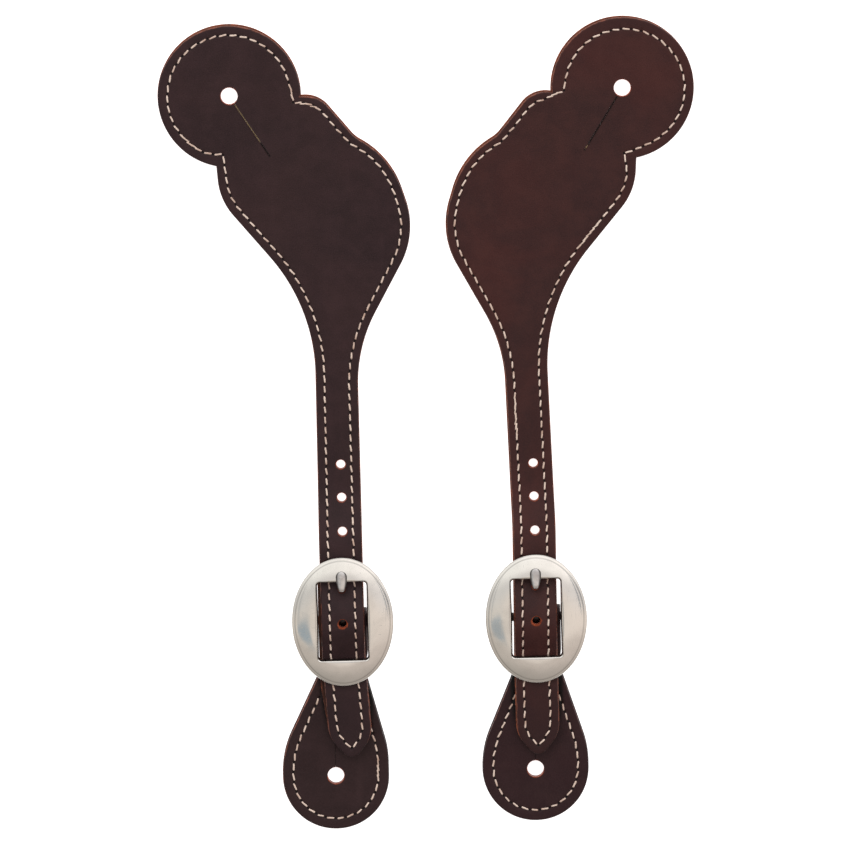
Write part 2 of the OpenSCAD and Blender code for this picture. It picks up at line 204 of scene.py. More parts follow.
def long_outline(side):
    """The long strap's three edges: up its inner side, round the tab, and down its outer side."""
    lean = side.tail_lean
    low_x = tail_x(TAIL_LOW, lean)
    up = [(lean, TAIL_TIP, 4), (HALF_W + low_x, TAIL_LOW, 12), (HALF_W, TAIL_BEND, 60), (HALF_W, 34.5, 150),
          (HALF_W, 101, 56), (31.2, 142.5, 30), (22.2, 171, 32.5), (9.2, 178.8, 11.5), (-4.9, 196, 11),
          (-20, 191.5, 0)]
    down = [(-HALF_W + low_x, TAIL_LOW, 12), (-HALF_W, TAIL_BEND, 60), (-HALF_W, 34.5, 150),
            (-HALF_W + 0.5, 116, 68), (-41.1, 156.5, 23), (-42.2, 174.5, 0)]
    up, down = ([(x + bow_x(y, side), y, r) for x, y, r in line] for line in (up, down))
    tip, low_right, low_left = up[0], up[1], down[0]
    nose = corner(low_left, tip, low_right)
    middle = nose[len(nose) // 2]
    right = [middle] + nose[len(nose) // 2 + 1:] + rounded(up)[1:]
    left = [middle] + nose[:len(nose) // 2][::-1] + rounded([tip] + down)[1:]
    centre = side.tab_centre
    right, left = fine(meets_tab(right, centre)), fine(meets_tab(left, centre))
    a, b = (math.atan2(*(p - centre)[::-1]) for p in (right[-1], left[-1]))
    b += 2 * math.pi if b < a else 0
    steps = math.ceil((b - a) * TAB_R / STEP)
    angles = [a + (b - a) * i / steps for i in range(steps + 1)]
    round_tab = [centre + TAB_R * np.array([math.cos(t), math.sin(t)]) for t in angles]
    return right, round_tab, left[::-1]


def drop_outline(side):
    """Half of the short strap, from its fold down round the teardrop and back up, on the x side first."""
    def off(y):
        if y > -15:
            return side.fold_x
        return (side.drop_lean + 2 * side.fold_x) / 4 if y > -25 else side.drop_lean

    edge = [(HALF_W, 0, 0), (HALF_W, -13, 12), (HALF_W, -18, 12), (DROP_R, -49, 36)]
    foot = [(DROP_R, side.drop_end, DROP_R - 0.05), (-DROP_R, side.drop_end, DROP_R - 0.05)]
    corners = edge + foot + [(-x, y, r) for x, y, r in edge[::-1]]
    return fine(rounded([(x + off(y), y, r) for x, y, r in corners]))


def joined(*runs):
    """A closed loop from open runs that share their end points."""
    loop = []
    for run in runs:
        loop += list(run[:-1])
    return np.array(loop)


def mitres(loop):
    """For each point of a closed loop, the vector that moves it 1 mm to the line's left, corners sharp."""
    ahead = np.roll(loop, -1, axis=0) - loop
    ahead /= np.linalg.norm(ahead, axis=1)[:, None]
    normal = np.stack([-ahead[:, 1], ahead[:, 0]], axis=1)
    before = np.roll(normal, 1, axis=0)
    both = normal + before
    return both / (1 + np.sum(normal * before, axis=1))[:, None]


def area(loop):
    """Twice a closed loop's area, above 0 where it runs anticlockwise."""
    return np.sum(loop[:, 0] * np.roll(loop[:, 1], -1) - np.roll(loop[:, 0], -1) * loop[:, 1])


def trimmed(loop, towards):
    """The loop with the skiver's cut taken off it, a hair all round and more where it faces one way."""
    inwards = mitres(loop)
    facing = -(inwards / np.linalg.norm(inwards, axis=1)[:, None]) @ np.array(towards)
    return loop + inwards * (TRIM + TRIM_FACING * np.clip(facing, 0, 1))[:, None]


def keyhole(centre, r, slit=None, width=SLIT_W):
    """A hole's loop, clockwise so that the leather is on its left, with the slit that runs out of it."""
    centre = np.array(centre, float)
    if slit is None:
        n = max(20, round(2 * math.pi * r / 0.45))
        angles = [-2 * math.pi * i / n for i in range(n)]
        return centre + r * np.array([[math.cos(t), math.sin(t)] for t in angles])
    length, angle = slit[0], math.radians(slit[1])
    along = np.array([math.cos(angle), math.sin(angle)])
    across = np.array([-along[1], along[0]])
    gap = math.asin(width / 2 / r)
    n = 28
    angles = [angle - gap - (2 * math.pi - 2 * gap) * i / n for i in range(n + 1)]
    loop = [centre + r * np.array([math.cos(t), math.sin(t)]) for t in angles]
    steps = math.ceil((length - r) / STEP)
    reach = [r + (length - r) * i / steps for i in range(1, steps + 1)]
    loop += [centre + along * d + across * width / 2 for d in reach]
    loop += [centre + along * d - across * width / 2 for d in reach[::-1]]
    return np.array(loop)


# ---- side profiles ----
def ease(t):
    t = np.clip(t, 0, 1)
    return t * t * (3 - 2 * t)


def strap_z(y):
    """Height of the long strap's underside: it humps over the bar, and its tail lies on the teardrop."""
    y = np.asarray(y, float)
    beyond = LIE_Z * ease((LIFT_FROM - y) / LIFT_RUN)
    near = LIE_Z + (HUMP_Z - LIE_Z) * ease((HUMP_FROM - y) / HUMP_RUN)
    tail = LIE_Z + (HUMP_Z - LIE_Z) * ease((y - TAIL_BEND) / TAIL_RUN)
    return np.where(y > HUMP_FROM, beyond, np.where(y > 0, near, tail))


def fold_z(y):
    """Height of the short strap's upper face, from the join to the top of the fold."""
    return DROP_T + (2 * FOLD_R - DROP_T) * ease((np.asarray(y, float) - JOIN_Y) / (-1 - JOIN_Y))


def fold_line():
    """The short strap's outer face seen from the side, from above the join round the bar to below it.

    Returns the places along the strap, with 0 at the nose of the fold, their (y, z) and their outward
    normals.
    """
    top = [(y, float(fold_z(y))) for y in np.linspace(FLAT_FROM, FOLD_NOSE, 40)]
    turn = [(FOLD_NOSE + FOLD_R * math.cos(t), BAR_Z + FOLD_R * math.sin(t))
            for t in np.linspace(math.pi / 2, -math.pi / 2, 25)[1:]]
    under = [(FOLD_NOSE - 4, 0.0), (FLAT_FROM, 0.0)]
    line = np.array(top + turn + under)
    length = np.concatenate([[0], np.cumsum(np.linalg.norm(np.diff(line, axis=0), axis=1))])
    tangent = np.gradient(line, axis=0)
    tangent /= np.linalg.norm(tangent, axis=1)[:, None]
    normal = np.stack([-tangent[:, 1], tangent[:, 0]], axis=1)
    nose = length[len(top) + 11]
    return length - nose, line, normal


FLAT_FROM = JOIN_Y - 2  # the short strap lies flat below this
FOLD = fold_line()


# ---- sheets of leather ----
def to_loop(points, loop):
    """Each point's distance from a closed loop."""
    a, b = loop, np.roll(loop, -1, axis=0)
    ab = b - a
    best = np.full(len(points), 1e9)
    for i in range(0, len(points), CHUNK):
        ap = points[i:i + CHUNK, None, :] - a[None]
        t = np.clip(np.sum(ap * ab, axis=2) / np.sum(ab * ab, axis=1), 0, 1)
        best[i:i + CHUNK] = np.linalg.norm(ap - t[..., None] * ab, axis=2).min(axis=1)
    return best


def inside(points, loop):
    """True for each point inside a closed loop."""
    x, y = points[:, 0, None], points[:, 1, None]
    a, b = loop, np.roll(loop, -1, axis=0)
    level = (a[:, 1] > y) != (b[:, 1] > y)
    rise = np.where(b[:, 1] == a[:, 1], 1e-9, b[:, 1] - a[:, 1])
    crosses = x < (b[:, 0] - a[:, 0]) * (y - a[:, 1]) / rise + a[:, 0]
    return (level & crosses).sum(axis=1) % 2 == 1


def spread(point_sets, gap):
    """The points of several sets, leaving out those nearer than gap to one from an earlier set."""
    kept = point_sets[0]
    for more in point_sets[1:]:
        if not len(more):
            continue
        if len(kept):
            near = np.full(len(more), 1e9)
            for i in range(0, len(more), CHUNK):
                near[i:i + CHUNK] = np.linalg.norm(more[i:i + CHUNK, None] - kept[None], axis=2).min(axis=1)
            more = more[near > gap]
        kept = np.concatenate([kept, more])
    return kept


RIM, BORE, HOLE_AND_SHADE, TAN = 0, 1, 2, 3  # columns of a sheet's marks; the third holds painted shade: in stitch holes, along slits, beside the tail and on the lining's ledge


GRAIN_FACE = (0.5, 0.32, 0.13)  # a grain side's rounding at its edge and at its holes, and its groove


class Face:
    """One face of a sheet: its height, which way it looks, and what is pressed into it."""

    def __init__(self, height, up, edge, hole_edge, groove=0.0, pricks=None, detailed=True):
        self.height = height
        self.sign = 1 if up else -1
        self.edge = edge
        self.hole_edge = hole_edge
        self.groove = groove
        self.pricks = np.zeros((0, 2)) if pricks is None else np.array(pricks)
        self.detailed = detailed


TRIM = 0.1  # the upper ply stands back from the edge by this
TRIM_FACING = 0.5  # and by this much more where it was skived
TAIL_SHADOW_W = 2.2  # reach of the painted shadow beside the tail
SLIT_EDGE = 0.25  # how much of a hole's rounded edge its slit has
GROOVE_HALF = 0.45
PRICK_R = 0.52
PRICK_DEPTH = 0.55
SWELL = 0.05  # gentle unevenness of the leather
SWELL_SPAN = 14  # and the size of its waves
EDGE_STEPS = 4
NEAR_EDGE = (1.1, 1.8)  # distances of the rings of points inside the outline
NEAR_GROOVE = (-0.6, -0.3, 0, 0.3, 0.6, 1.3, 2.3)  # of those on both sides of the stitch groove
NEAR_HOLE = (0.5, 1.2)  # and of those round each hole's rounded edge
FINE_GAP = 0.28  # no two points on the edges and the groove are closer than this
DETAIL_GAP = 0.6  # nor the others of a detailed face
PLAIN_GAP = 0.9  # nor those of a plain one


def sunk(face, points, stitch_gap):
    """How far the face lies below its height at each point, and how much of a stitch hole is there."""
    depth = face.groove * np.exp(-(stitch_gap / GROOVE_HALF) ** 2)
    hole = np.zeros(len(points))
    if len(face.pricks):
        near = np.linalg.norm(points[:, None] - face.pricks[None], axis=2).min(axis=1)
        hole = np.clip(1 - near / PRICK_R, 0, 1)
    if face.detailed:
        waves = [noise.noise((x / SWELL_SPAN, y / SWELL_SPAN, face.height)) + 0.5 for x, y in points]
        depth = depth + SWELL * np.array(waves)
    return depth + PRICK_DEPTH * hole, hole


def sheet(loop, cuts, top, bottom, stitch_loop):
    """A closed sheet with rounded edges, as flat points (x, y, height), faces and per-point marks.

    The marks are rim, 1 on the outer cut edge; bore, 1 on the walls of holes; hole_and_shade, 1 in a stitch
    hole, which is painted near black as shade; and tan, 0 everywhere until a slit is marked. The groove for
    the stitches follows stitch_loop.
    """
    points, marks, faces = [], [], []

    def add(xy, heights, rim, bore, hole_and_shade):
        first = sum(len(p) for p in points)
        n = len(xy)
        points.append(np.column_stack([xy, np.broadcast_to(heights, n)]))
        marks.append(np.column_stack([np.broadcast_to(v, n) for v in (rim, bore, hole_and_shade, 0.0)]))
        return first

    def band(first_a, first_b, n):
        for i in range(n):
            j = (i + 1) % n
            faces.append((first_a + i, first_a + j, first_b + j, first_b + i))

    loops = [loop] + cuts
    moves = [mitres(c) for c in loops]
    ends = []
    for face in (top, bottom):
        rounds = [np.full((len(loop), 1), face.edge)] + [face.hole_edge * softness(c) for c in cuts]
        borders = [c + m * r for c, m, r in zip(loops, moves, rounds)]
        low, high = loop.min(axis=0), loop.max(axis=0)
        xs = np.arange(low[0], high[0], GRID)
        ys = np.arange(low[1], high[1], GRID * 0.866)
        grid = np.array([(x + (GRID / 2 if k % 2 else 0), y) for k, y in enumerate(ys) for x in xs])
        grid = grid[inside(grid, loop)]
        sets = [np.concatenate(borders)]
        if face.detailed:
            ring = [np.array([math.cos(t), math.sin(t)]) * PRICK_R for t in np.arange(6) * math.pi / 3]
            if len(face.pricks):
                sets[0] = np.concatenate([sets[0], face.pricks, *[face.pricks + r for r in ring]])
            rings = [loop + mitres(loop) * d for d in NEAR_EDGE]
            rings += [stitch_loop + mitres(stitch_loop) * d for d in NEAR_GROOVE]
            rings = np.concatenate(rings)
            rings = rings[inside(rings, loop)]
            hole_rings = [c + m * (face.hole_edge + d) for c, m in zip(cuts, moves[1:]) for d in NEAR_HOLE]
            sets += [rings] + hole_rings
        sets.append(grid)
        cloud = spread(sets[:2], FINE_GAP) if face.detailed else sets[0]
        for extra in sets[2:] if face.detailed else sets[1:]:
            cloud = spread([cloud, extra], DETAIL_GAP if face.detailed else PLAIN_GAP)
        n_border = len(np.concatenate(borders))
        free = cloud[n_border:]
        keep = inside(free, borders[0]) & (to_loop(free, borders[0]) > 0.2)
        for b in borders[1:]:
            keep &= ~inside(free, b) & (to_loop(free, b) > 0.12)
        cloud = np.concatenate([cloud[:n_border], free[keep]])
        edges, start = [], 0
        for b in borders:
            edges += [(start + i, start + (i + 1) % len(b)) for i in range(len(b))]
            start += len(b)
        made = delaunay_2d_cdt([Vector(p) for p in cloud.tolist()], edges, [], 1, 1e-5)
        if len(made[0]) != len(cloud):
            raise ValueError("the sheet's outline crosses itself")
        xy = np.array([tuple(v) for v in made[0]])
        depth, hole_and_shade = sunk(face, xy, to_loop(xy, stitch_loop))
        edge_gap = to_loop(xy, loop)
        hole_gap = np.min([to_loop(xy, c) for c in cuts], axis=0) if cuts else np.full(len(xy), 9.0)
        first = add(xy, face.height - face.sign * depth, np.clip(1.1 - edge_gap / 0.75, 0, 1) * 0.8,
                    np.clip(1.1 - hole_gap / 0.6, 0, 1) * 0.4, hole_and_shade)
        corners = xy[np.array(made[2])]
        middles = corners.mean(axis=1)
        filled = inside(middles, borders[0])
        for b in borders[1:]:
            filled &= ~inside(middles, b)
        one, two = corners[:, 1] - corners[:, 0], corners[:, 2] - corners[:, 0]
        turns = one[:, 0] * two[:, 1] - one[:, 1] * two[:, 0] > 0
        for tri, wanted, turn in zip(made[2], filled, turns):
            if wanted:
                faces.append(tuple(first + k for k in (tri if turn == (face.sign > 0) else tri[::-1])))
        where = {k: i for i, ks in enumerate(made[3]) for k in ks}
        start, last = 0, []
        for k, (c, m, r) in enumerate(zip(loops, moves, rounds)):
            border = [first + where[start + i] for i in range(len(c))]
            start += len(c)
            level = np.array([points[-1 - k][b - first, 2] for b in border]) if k == 0 else face.height
            previous, n = border, len(c)
            for s in range(EDGE_STEPS - 1, -1, -1):
                angle = math.pi / 2 * s / EDGE_STEPS
                out = r * (1 - math.cos(angle))
                drop = r[:, 0] * (1 - math.sin(angle))
                shade = 1 - 0.25 * s / EDGE_STEPS
                rim, bore = (shade, 0) if k == 0 else (0, shade)
                here = add(c + m * out, level - face.sign * drop, rim, bore, 0)
                ring = list(range(here, here + n))
                for i in range(n):
                    j = (i + 1) % n
                    quad = (ring[i], ring[j], previous[j], previous[i])
                    faces.append(quad if face.sign > 0 else quad[::-1])
                previous = ring
            last.append(previous[0])
        ends.append(last)
    for k, c in enumerate(loops):
        n = len(c)
        upper, lower = ends[0][k], ends[1][k]
        band(lower, upper, n)
    return np.concatenate(points), np.concatenate(marks), faces


def softness(cut):
    """How much of its full rounding each point of a hole's edge has: all of it, but less along a slit."""
    middle = cut[:20].mean(axis=0)
    reach = np.linalg.norm(cut - middle, axis=1)
    return np.where(reach > BUTTON_R + 0.9, SLIT_EDGE, 1.0)[:, None]


class Side:
    """One strap of the pair: its name, its own figures, and where its flat coordinates lie."""

    def __init__(self, name):
        self.name = name
        low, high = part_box(f"{name}_buckle_bar")
        self.bar = (low + high) / 2
        self.mirror = -1 if name == "right" else 1
        self.__dict__.update(OWN[name])
        self.tab_centre = np.array([TAB_X + 0.15 * self.bow, TAB_Y])

    def place(self, points):
        points = np.asarray(points, float)
        return np.column_stack([self.bar.x + self.mirror * points[:, 0] * MM,
                                self.bar.y + points[:, 1] * MM, points[:, 2] * MM])

    def at(self, y, z=0.0):
        return tuple(float(v) for v in self.place([(0, y, z)])[0])

    def flat_places(self, piece):
        """A piece's points in flat coordinates."""
        return [(self.mirror * (v.co.x - self.bar.x) / MM, (v.co.y - self.bar.y) / MM, v.co.z / MM)
                for v in piece.data.vertices]

    def mesh(self, name, points, faces, marks=None, flat=None):
        """A mesh object from points in flat coordinates, which keeps their marks and flat places."""
        data = bpy.data.meshes.new(name)
        if self.mirror < 0:
            faces = [f[::-1] for f in faces]
        data.from_pydata(self.place(points).tolist(), [], faces)
        for k, mark in enumerate(("rim", "bore", "hole_and_shade", "tan")):
            layer = data.attributes.new(mark, "FLOAT", "POINT")
            values = np.zeros(len(points)) if marks is None or k >= marks.shape[1] else marks[:, k]
            layer.data.foreach_set("value", values.astype(np.float32))
        layer = data.attributes.new("flat", "FLOAT_VECTOR", "POINT")
        rest = (points if flat is None else flat) * MM
        layer.data.foreach_set("vector", rest.astype(np.float32).ravel())
        data.polygons.foreach_set("use_smooth", np.ones(len(data.polygons), bool))
        data.validate()
        piece = bpy.data.objects.new(name, data)
        bpy.context.scene.collection.objects.link(piece)
        return piece


def set_mark(piece, name, values):
    """Writes a mark on every point of a piece."""
    layer = piece.data.attributes.get(name) or piece.data.attributes.new(name, "FLOAT", "POINT")
    layer.data.foreach_set("value", np.array(values, np.float32))


def cut_in_two(piece, y, names):
    """Splits a piece at y, in metres, and closes both cut ends. Returns the far half and the near half."""
    halves = []
    for name, keep_far in zip(names, (True, False)):
        bm = bmesh.new()
        bm.from_mesh(piece.data)
        everything = bm.verts[:] + bm.edges[:] + bm.faces[:]
        bmesh.ops.bisect_plane(bm, geom=everything, dist=1e-7, plane_co=(0, y, 0), plane_no=(0, 1, 0),
                               clear_outer=not keep_far, clear_inner=keep_far)
        rim = [e for e in bm.edges if e.is_boundary]
        cap = bmesh.ops.contextual_create(bm, geom=rim)["faces"]
        bmesh.ops.recalc_face_normals(bm, faces=bm.faces[:])
        for e in rim:
            e.smooth = False
        for f in cap:
            f.smooth = False
        data = bpy.data.meshes.new(name)
        bm.to_mesh(data)
        bm.free()
        half = bpy.data.objects.new(name, data)
        bpy.context.scene.collection.objects.link(half)
        halves.append(half)
    bpy.data.objects.remove(piece)
    return halves


# ---- stitching ----
THREAD_R = 0.33
THREAD_FLAT = 0.8  # the thread's height as part of its width
STITCH_SIDES = 9
STITCH_STEPS = 11
END_GAP = 0.4  # a stitch is about this much shorter at each end than its holes are apart
STITCH_LEAN = 0.2
STITCH_DIVE = 0.62  # how far a stitch's ends go down into their holes
THREAD_SUNK = 0.06  # how far the upper stitches lie below the leather's face
THREAD_UNDER = 0.34  # height of the lower stitches above the surface
# Where the seam was sewn twice: place and radius, in flat coordinates
SEWN_TWICE = {
    "left": [(-50, 177.8, 4.5), (-9, 194.6, 6)],
    "right": [(6, 75, 9), (-23.6, 139.4, 6), (-14, 192, 4)],
}
DROP_SEWN_TWICE = {"left": [(13, -55, 5)], "right": []}
# How the stitching stands off on each round tab: its shift, and how much smaller its circle is
TAB_SEWING = {"left": ((-0.13, -0.22), 0.45), "right": ((-0.9, -0.37), 1.0)}
TAB_FADE = 6.0  # this far off the tab's edge the stitching keeps to the outline again
# How far the stitching's corners at the upper and the lower notch stand off the even ones
NOTCH_SHIFT = {"left": ((0.9, 1.3), (-0.4, 1.4)), "right": ((0.2, 4.3), (2.4, -1.5))}
NOTCH_REACH = 8.0


def sewing_line(run, side):
    """The line that the stitches keep their distance from: the outline, a little off on the round tab."""
    run = np.array(run)
    shift, smaller = TAB_SEWING[side.name]
    out = run - side.tab_centre
    reach = np.linalg.norm(out, axis=1)[:, None]
    much = np.clip(1 - (reach - TAB_R) / TAB_FADE, 0, 1)
    return run + much * (np.array(shift) - out / reach * smaller)


def stitch_lines(runs, side):
    """The lines of stitches along the long strap's edges, still sharing their end points."""
    lines = inset_runs([sewing_line(run, side) for run in runs], STITCH_INSET)
    corners = [lines[0][-1].copy(), lines[1][-1].copy()]
    for line in lines:
        gaps = [np.linalg.norm(line - corner_point, axis=1)[:, None] for corner_point in corners]
        for gap, shift in zip(gaps, NOTCH_SHIFT[side.name]):
            line += np.clip(1 - gap / NOTCH_REACH, 0, 1) * np.array(shift)
    return lines


def seam(run, pitch=STITCH_PITCH):
    """The stitch holes along an open line: its ends and equal steps near the pitch between them."""
    run = np.array(run)
    along = np.concatenate([[0], np.cumsum(np.linalg.norm(np.diff(run, axis=0), axis=1))])
    n = round(along[-1] / pitch)
    marks = np.linspace(0, along[-1], n + 1)
    return np.column_stack([np.interp(marks, along, run[:, k]) for k in (0, 1)])


def inset_runs(runs, distance):
    """The open runs of a closed outline, moved inwards, still sharing their end points."""
    loop = joined(*runs)
    moved = loop + mitres(loop) * distance
    out, start = [], 0
    for run in runs:
        index = [(start + i) % len(loop) for i in range(len(run))]
        out.append(moved[index])
        start += len(run) - 1
    return out


def tube_faces(rows, sides):
    """The walls and the two end caps of a closed tube whose points come row after row."""
    walls = []
    for i in range(rows - 1):
        for k in range(sides):
            j = (k + 1) % sides
            a, b = i * sides, (i + 1) * sides
            walls.append((a + k, a + j, b + j, b + k))
    end = (rows - 1) * sides
    return walls, [tuple(range(sides))[::-1], tuple(end + k for k in range(sides))]


def one_stitch(a, b, height, up, rng, lift=0.0):
    """A twisted thread from hole a to hole b, coming out of one and diving into the other.

    It lies at a height, up is 1 or -1 for the way its side faces, and lift raises its middle.
    """
    a, b = np.array(a), np.array(b)
    along = unit(b - a)
    across = np.array([-along[1], along[0]])
    loose = 2.5 if lift else 1.0
    lean = STITCH_LEAN + rng.uniform(-0.12, 0.12) * loose
    sideways = rng.uniform(-0.06, 0.06) * loose
    radius = THREAD_R * rng.uniform(0.93, 1.07) * (0.8 if lift else 1.0)
    length = np.linalg.norm(b - a)
    gap = END_GAP * rng.uniform(0.6, 1.3)
    twist = rng.uniform(0, 6)
    points = []
    for i in range(STITCH_STEPS):
        t = i / (STITCH_STEPS - 1)
        s = 2 * t - 1
        dive = 1 - s ** 6
        reach = gap + (length - 2 * gap) * t
        middle = a + along * reach + across * (sideways + lean * s * length / 4)
        rise = up * (-STITCH_DIVE + STITCH_DIVE * dive + lift * (1 - s * s))
        size = radius * (0.45 + 0.55 * (1 - s ** 4) ** 0.5)
        for k in range(STITCH_SIDES):
            turn = 2 * math.pi * k / STITCH_SIDES
            ply = 1 + 0.09 * math.cos(3 * turn - 9 * t - twist)
            side = middle + across * size * ply * math.cos(turn)
            points.append((side[0], side[1], height + rise + size * ply * THREAD_FLAT * math.sin(turn)))
    walls, caps = tube_faces(STITCH_STEPS, STITCH_SIDES)
    return np.array(points), walls + caps


def stitching(seams, height, up, bend, twice=(), keep=lambda p: True):
    """The stitches along the seams whose middle passes `keep`: their points, flat places and faces.

    Near the places in `twice` a second, looser row lies over the first.
    """
    rng = random.Random(5)
    points, flats, faces, count = [], [], [], 0
    for holes in seams:
        spans = [(holes[i], holes[i + 1], 0.0) for i in range(len(holes) - 1)]
        for i in range(1, len(holes) - 1):
            if any(np.linalg.norm(holes[i] - np.array(c[:2])) < c[2] for c in twice):
                spans.append(((holes[i - 1] + holes[i]) / 2, (holes[i] + holes[i + 1]) / 2, 0.05))
        for a, b, lift in spans:
            made, shape = one_stitch(a, b, height, up, rng, lift)
            if not keep((a + b) / 2):
                continue
            flats.append(made)
            points.append(bend(made))
            faces += [tuple(count + k for k in f) for f in shape]
            count += len(made)
    return np.concatenate(points), np.concatenate(flats), faces


def thread_piece(side, name, upper, lower):
    """One piece from the stitches on the grain side and those on the underside."""
    points, flats = (np.concatenate([upper[k], lower[k]]) for k in (0, 1))
    faces = upper[2] + [tuple(len(upper[0]) + k for k in f) for f in lower[2]]
    thread = side.mesh(name, points, faces, None, flats)
    wear(thread, "thread")
    return thread


# ---- the buckle ----
def window_reach(angle):
    """Distance from the buckle's middle to the edge of its window, in that direction."""
    direction = np.array([math.cos(angle), math.sin(angle)])
    half = np.array([WINDOW_W / 2, WINDOW_L / 2]) - WINDOW_R
    low, high = 0.0, 30.0
    for _ in range(40):
        mid = (low + high) / 2
        q = np.abs(direction * mid - np.array([0, WINDOW_Y])) - half
        gap = np.linalg.norm(np.maximum(q, 0)) + min(max(q[0], q[1]), 0) - WINDOW_R
        low, high = (mid, high) if gap < 0 else (low, mid)
    return low


def oval_reach(angle):
    return 1 / math.hypot(math.cos(angle) / (FRAME_W / 2), math.sin(angle) / (FRAME_L / 2))


RIM_Z = 9.95  # the frame's height at the start of its dome
RIM_W = 0.2  # and how far that is from its outer edge
BEVEL = 0.6  # width of the window's worn inner edge
DOME_W = 8.8  # the frame's dome has levelled off at this distance from its rim
LINE_AT = 1.2  # the pressed line round the frame: its distance from the rim
LINE_HALF = 0.2
LINE_DEPTH = 0.07
HOLLOW = 0.55  # depth of the hollow under the frame
FRAME_STEPS = 168  # cuts across the frame all round it
CORNER_STEPS = 8  # and more to each side of the window's corners
CORNER_STEP = 0.0125  # at this angle, in radians
CLOSEST_ANGLES = 0.004
# The frame's rolled rim, as distance from the outer edge and height
ROLLED_RIM = [(0.3, FRAME_Z), (0.08, 9.2), (0, 9.4), (0, 9.65), (0.07, 9.85), (RIM_W, RIM_Z)]
# The worn edge of its window and the wall below it, as distance past the edge and height
WORN_EDGE = [(-0.5, 12.04), (-0.36, 11.92), (-0.22, 11.8), (-0.1, 11.65), (0, 11.45), (0.04, 11.2)]
WINDOW_WALL = [(0.15, 10.4), (0.26, 9.6), (0.28, 9.4), (0.2, 9.2), (0, FRAME_Z)]
LUG_FLARE = ((0.1, 7.5), (0.7, 9.0), (1.2, 9.9))  # how a lug widens, with its height, up into the frame


def bump_at(value, middle, half):
    return math.exp(-((value - middle) / half) ** 2)


def dome_z(d):
    """Height of the frame's dome at a distance from its outer edge."""
    part = min(1.0, max(0.0, (d - RIM_W) / (DOME_W - RIM_W)))
    return RIM_Z + (FRAME_TOP - RIM_Z) * math.sin(math.pi / 2 * part) ** 0.8


def frame_section(width):
    """The frame cut across, as (distance from the outer edge, height): over its top and back under it."""
    over = list(ROLLED_RIM)
    start, end = RIM_W, width - BEVEL
    for i in range(1, 25):
        d = start + (end - start) * (i / 24) ** 1.25
        over.append((d, dome_z(d) - LINE_DEPTH * bump_at(d, LINE_AT, LINE_HALF)))
    lower = FRAME_TOP - dome_z(end)
    over += [(width + d, z - lower) for d, z in WORN_EDGE]
    over += [(width + d, z) for d, z in WINDOW_WALL]
    back = [(width - 0.3 - (width - 0.6) * i / 10, FRAME_Z + HOLLOW * math.sin(math.pi * i / 10) ** 0.6)
            for i in range(1, 10)]
    return over + back


def ring_faces(rows, sides):
    """The walls of a closed ring whose points come row after row."""
    walls = []
    for i in range(rows):
        a, b = i * sides, (i + 1) % rows * sides
        for k in range(sides):
            j = (k + 1) % sides
            walls.append((a + k, b + k, b + j, a + j))
    return walls


def ring_between(section_of, angles, outer, inner):
    """A closed band round the z axis whose cut across, at each angle, is section_of(width)."""
    points = []
    for angle in angles:
        direction = np.array([math.cos(angle), math.sin(angle)])
        reach = outer(angle)
        for d, z in section_of(reach - inner(angle)):
            points.append((*(direction * (reach - d)), z))
    return np.array(points), ring_faces(len(angles), len(points) // len(angles))


def slab_along_x(profile, x0, x1, bevel):
    """A closed bar along x with the profile (y, z), its ends bevelled, both in flat coordinates."""
    profile = np.array(profile)
    moves = mitres(profile)
    rings = []
    for x, shrink in ((x0, bevel), (x0 + bevel * 0.3, bevel * 0.3), (x0 + bevel, 0), (x1 - bevel, 0),
                      (x1 - bevel * 0.3, bevel * 0.3), (x1, bevel)):
        rings.append(np.column_stack([np.full(len(profile), x), profile + moves * shrink]))
    walls, caps = tube_faces(len(rings), len(profile))
    return np.concatenate(rings), caps + walls


def swept(path, widths, thicknesses, sides=20, power=2.6):
    """A closed tube along a (y, z) path, as wide in x and as thick as given at each point of the path."""
    path = np.array(path)
    tangent = np.gradient(path, axis=0)
    tangent /= np.linalg.norm(tangent, axis=1)[:, None]
    normal = np.stack([-tangent[:, 1], tangent[:, 0]], axis=1)
    points = []
    for p, n, w, t in zip(path, normal, widths, thicknesses):
        for k in range(sides):
            turn = 2 * math.pi * k / sides
            c, s = math.cos(turn), math.sin(turn)
            x = math.copysign(abs(c) ** (2 / power), c) * w / 2
            h = math.copysign(abs(s) ** (2 / power), s) * t / 2
            points.append((x, p[0] + n[0] * h, p[1] + n[1] * h))
    walls, caps = tube_faces(len(path), sides)
    return np.array(points), walls + caps


def combine(piece, tool, operation):
    """Joins a tool to the piece or cuts it out, and throws the tool away."""
    for o in (piece, tool):
        bm = bmesh.new()
        bm.from_mesh(o.data)
        bmesh.ops.recalc_face_normals(bm, faces=bm.faces[:])
        bm.to_mesh(o.data)
        bm.free()
    modifier = piece.modifiers.new("combine", "BOOLEAN")
    modifier.operation = operation
    modifier.solver = "EXACT"
    modifier.object = tool
    graph = bpy.context.evaluated_depsgraph_get()
    made = bpy.data.meshes.new_from_object(piece.evaluated_get(graph))
    piece.modifiers.clear()
    piece.data = made
    bpy.data.objects.remove(tool)
    return piece


def sharpen(piece, degrees):
    """Smooth shading everywhere but on edges that turn more than this."""
    bm = bmesh.new()
    bm.from_mesh(piece.data)
    for f in bm.faces:
        f.smooth = True
    for e in bm.edges:
        e.smooth = not (len(e.link_faces) == 2 and e.calc_face_angle(0) > math.radians(degrees))
    bm.to_mesh(piece.data)
    bm.free()


def tube_x(radius, x0, x1, y, z, sides=48):
    """A plain round bar along x."""
    turns = [-2 * math.pi * k / sides for k in range(sides)]
    profile = [(y + radius * math.cos(t), z + radius * math.sin(t)) for t in turns]
    return slab_along_x(profile[::-1], x0, x1, 0.0001)


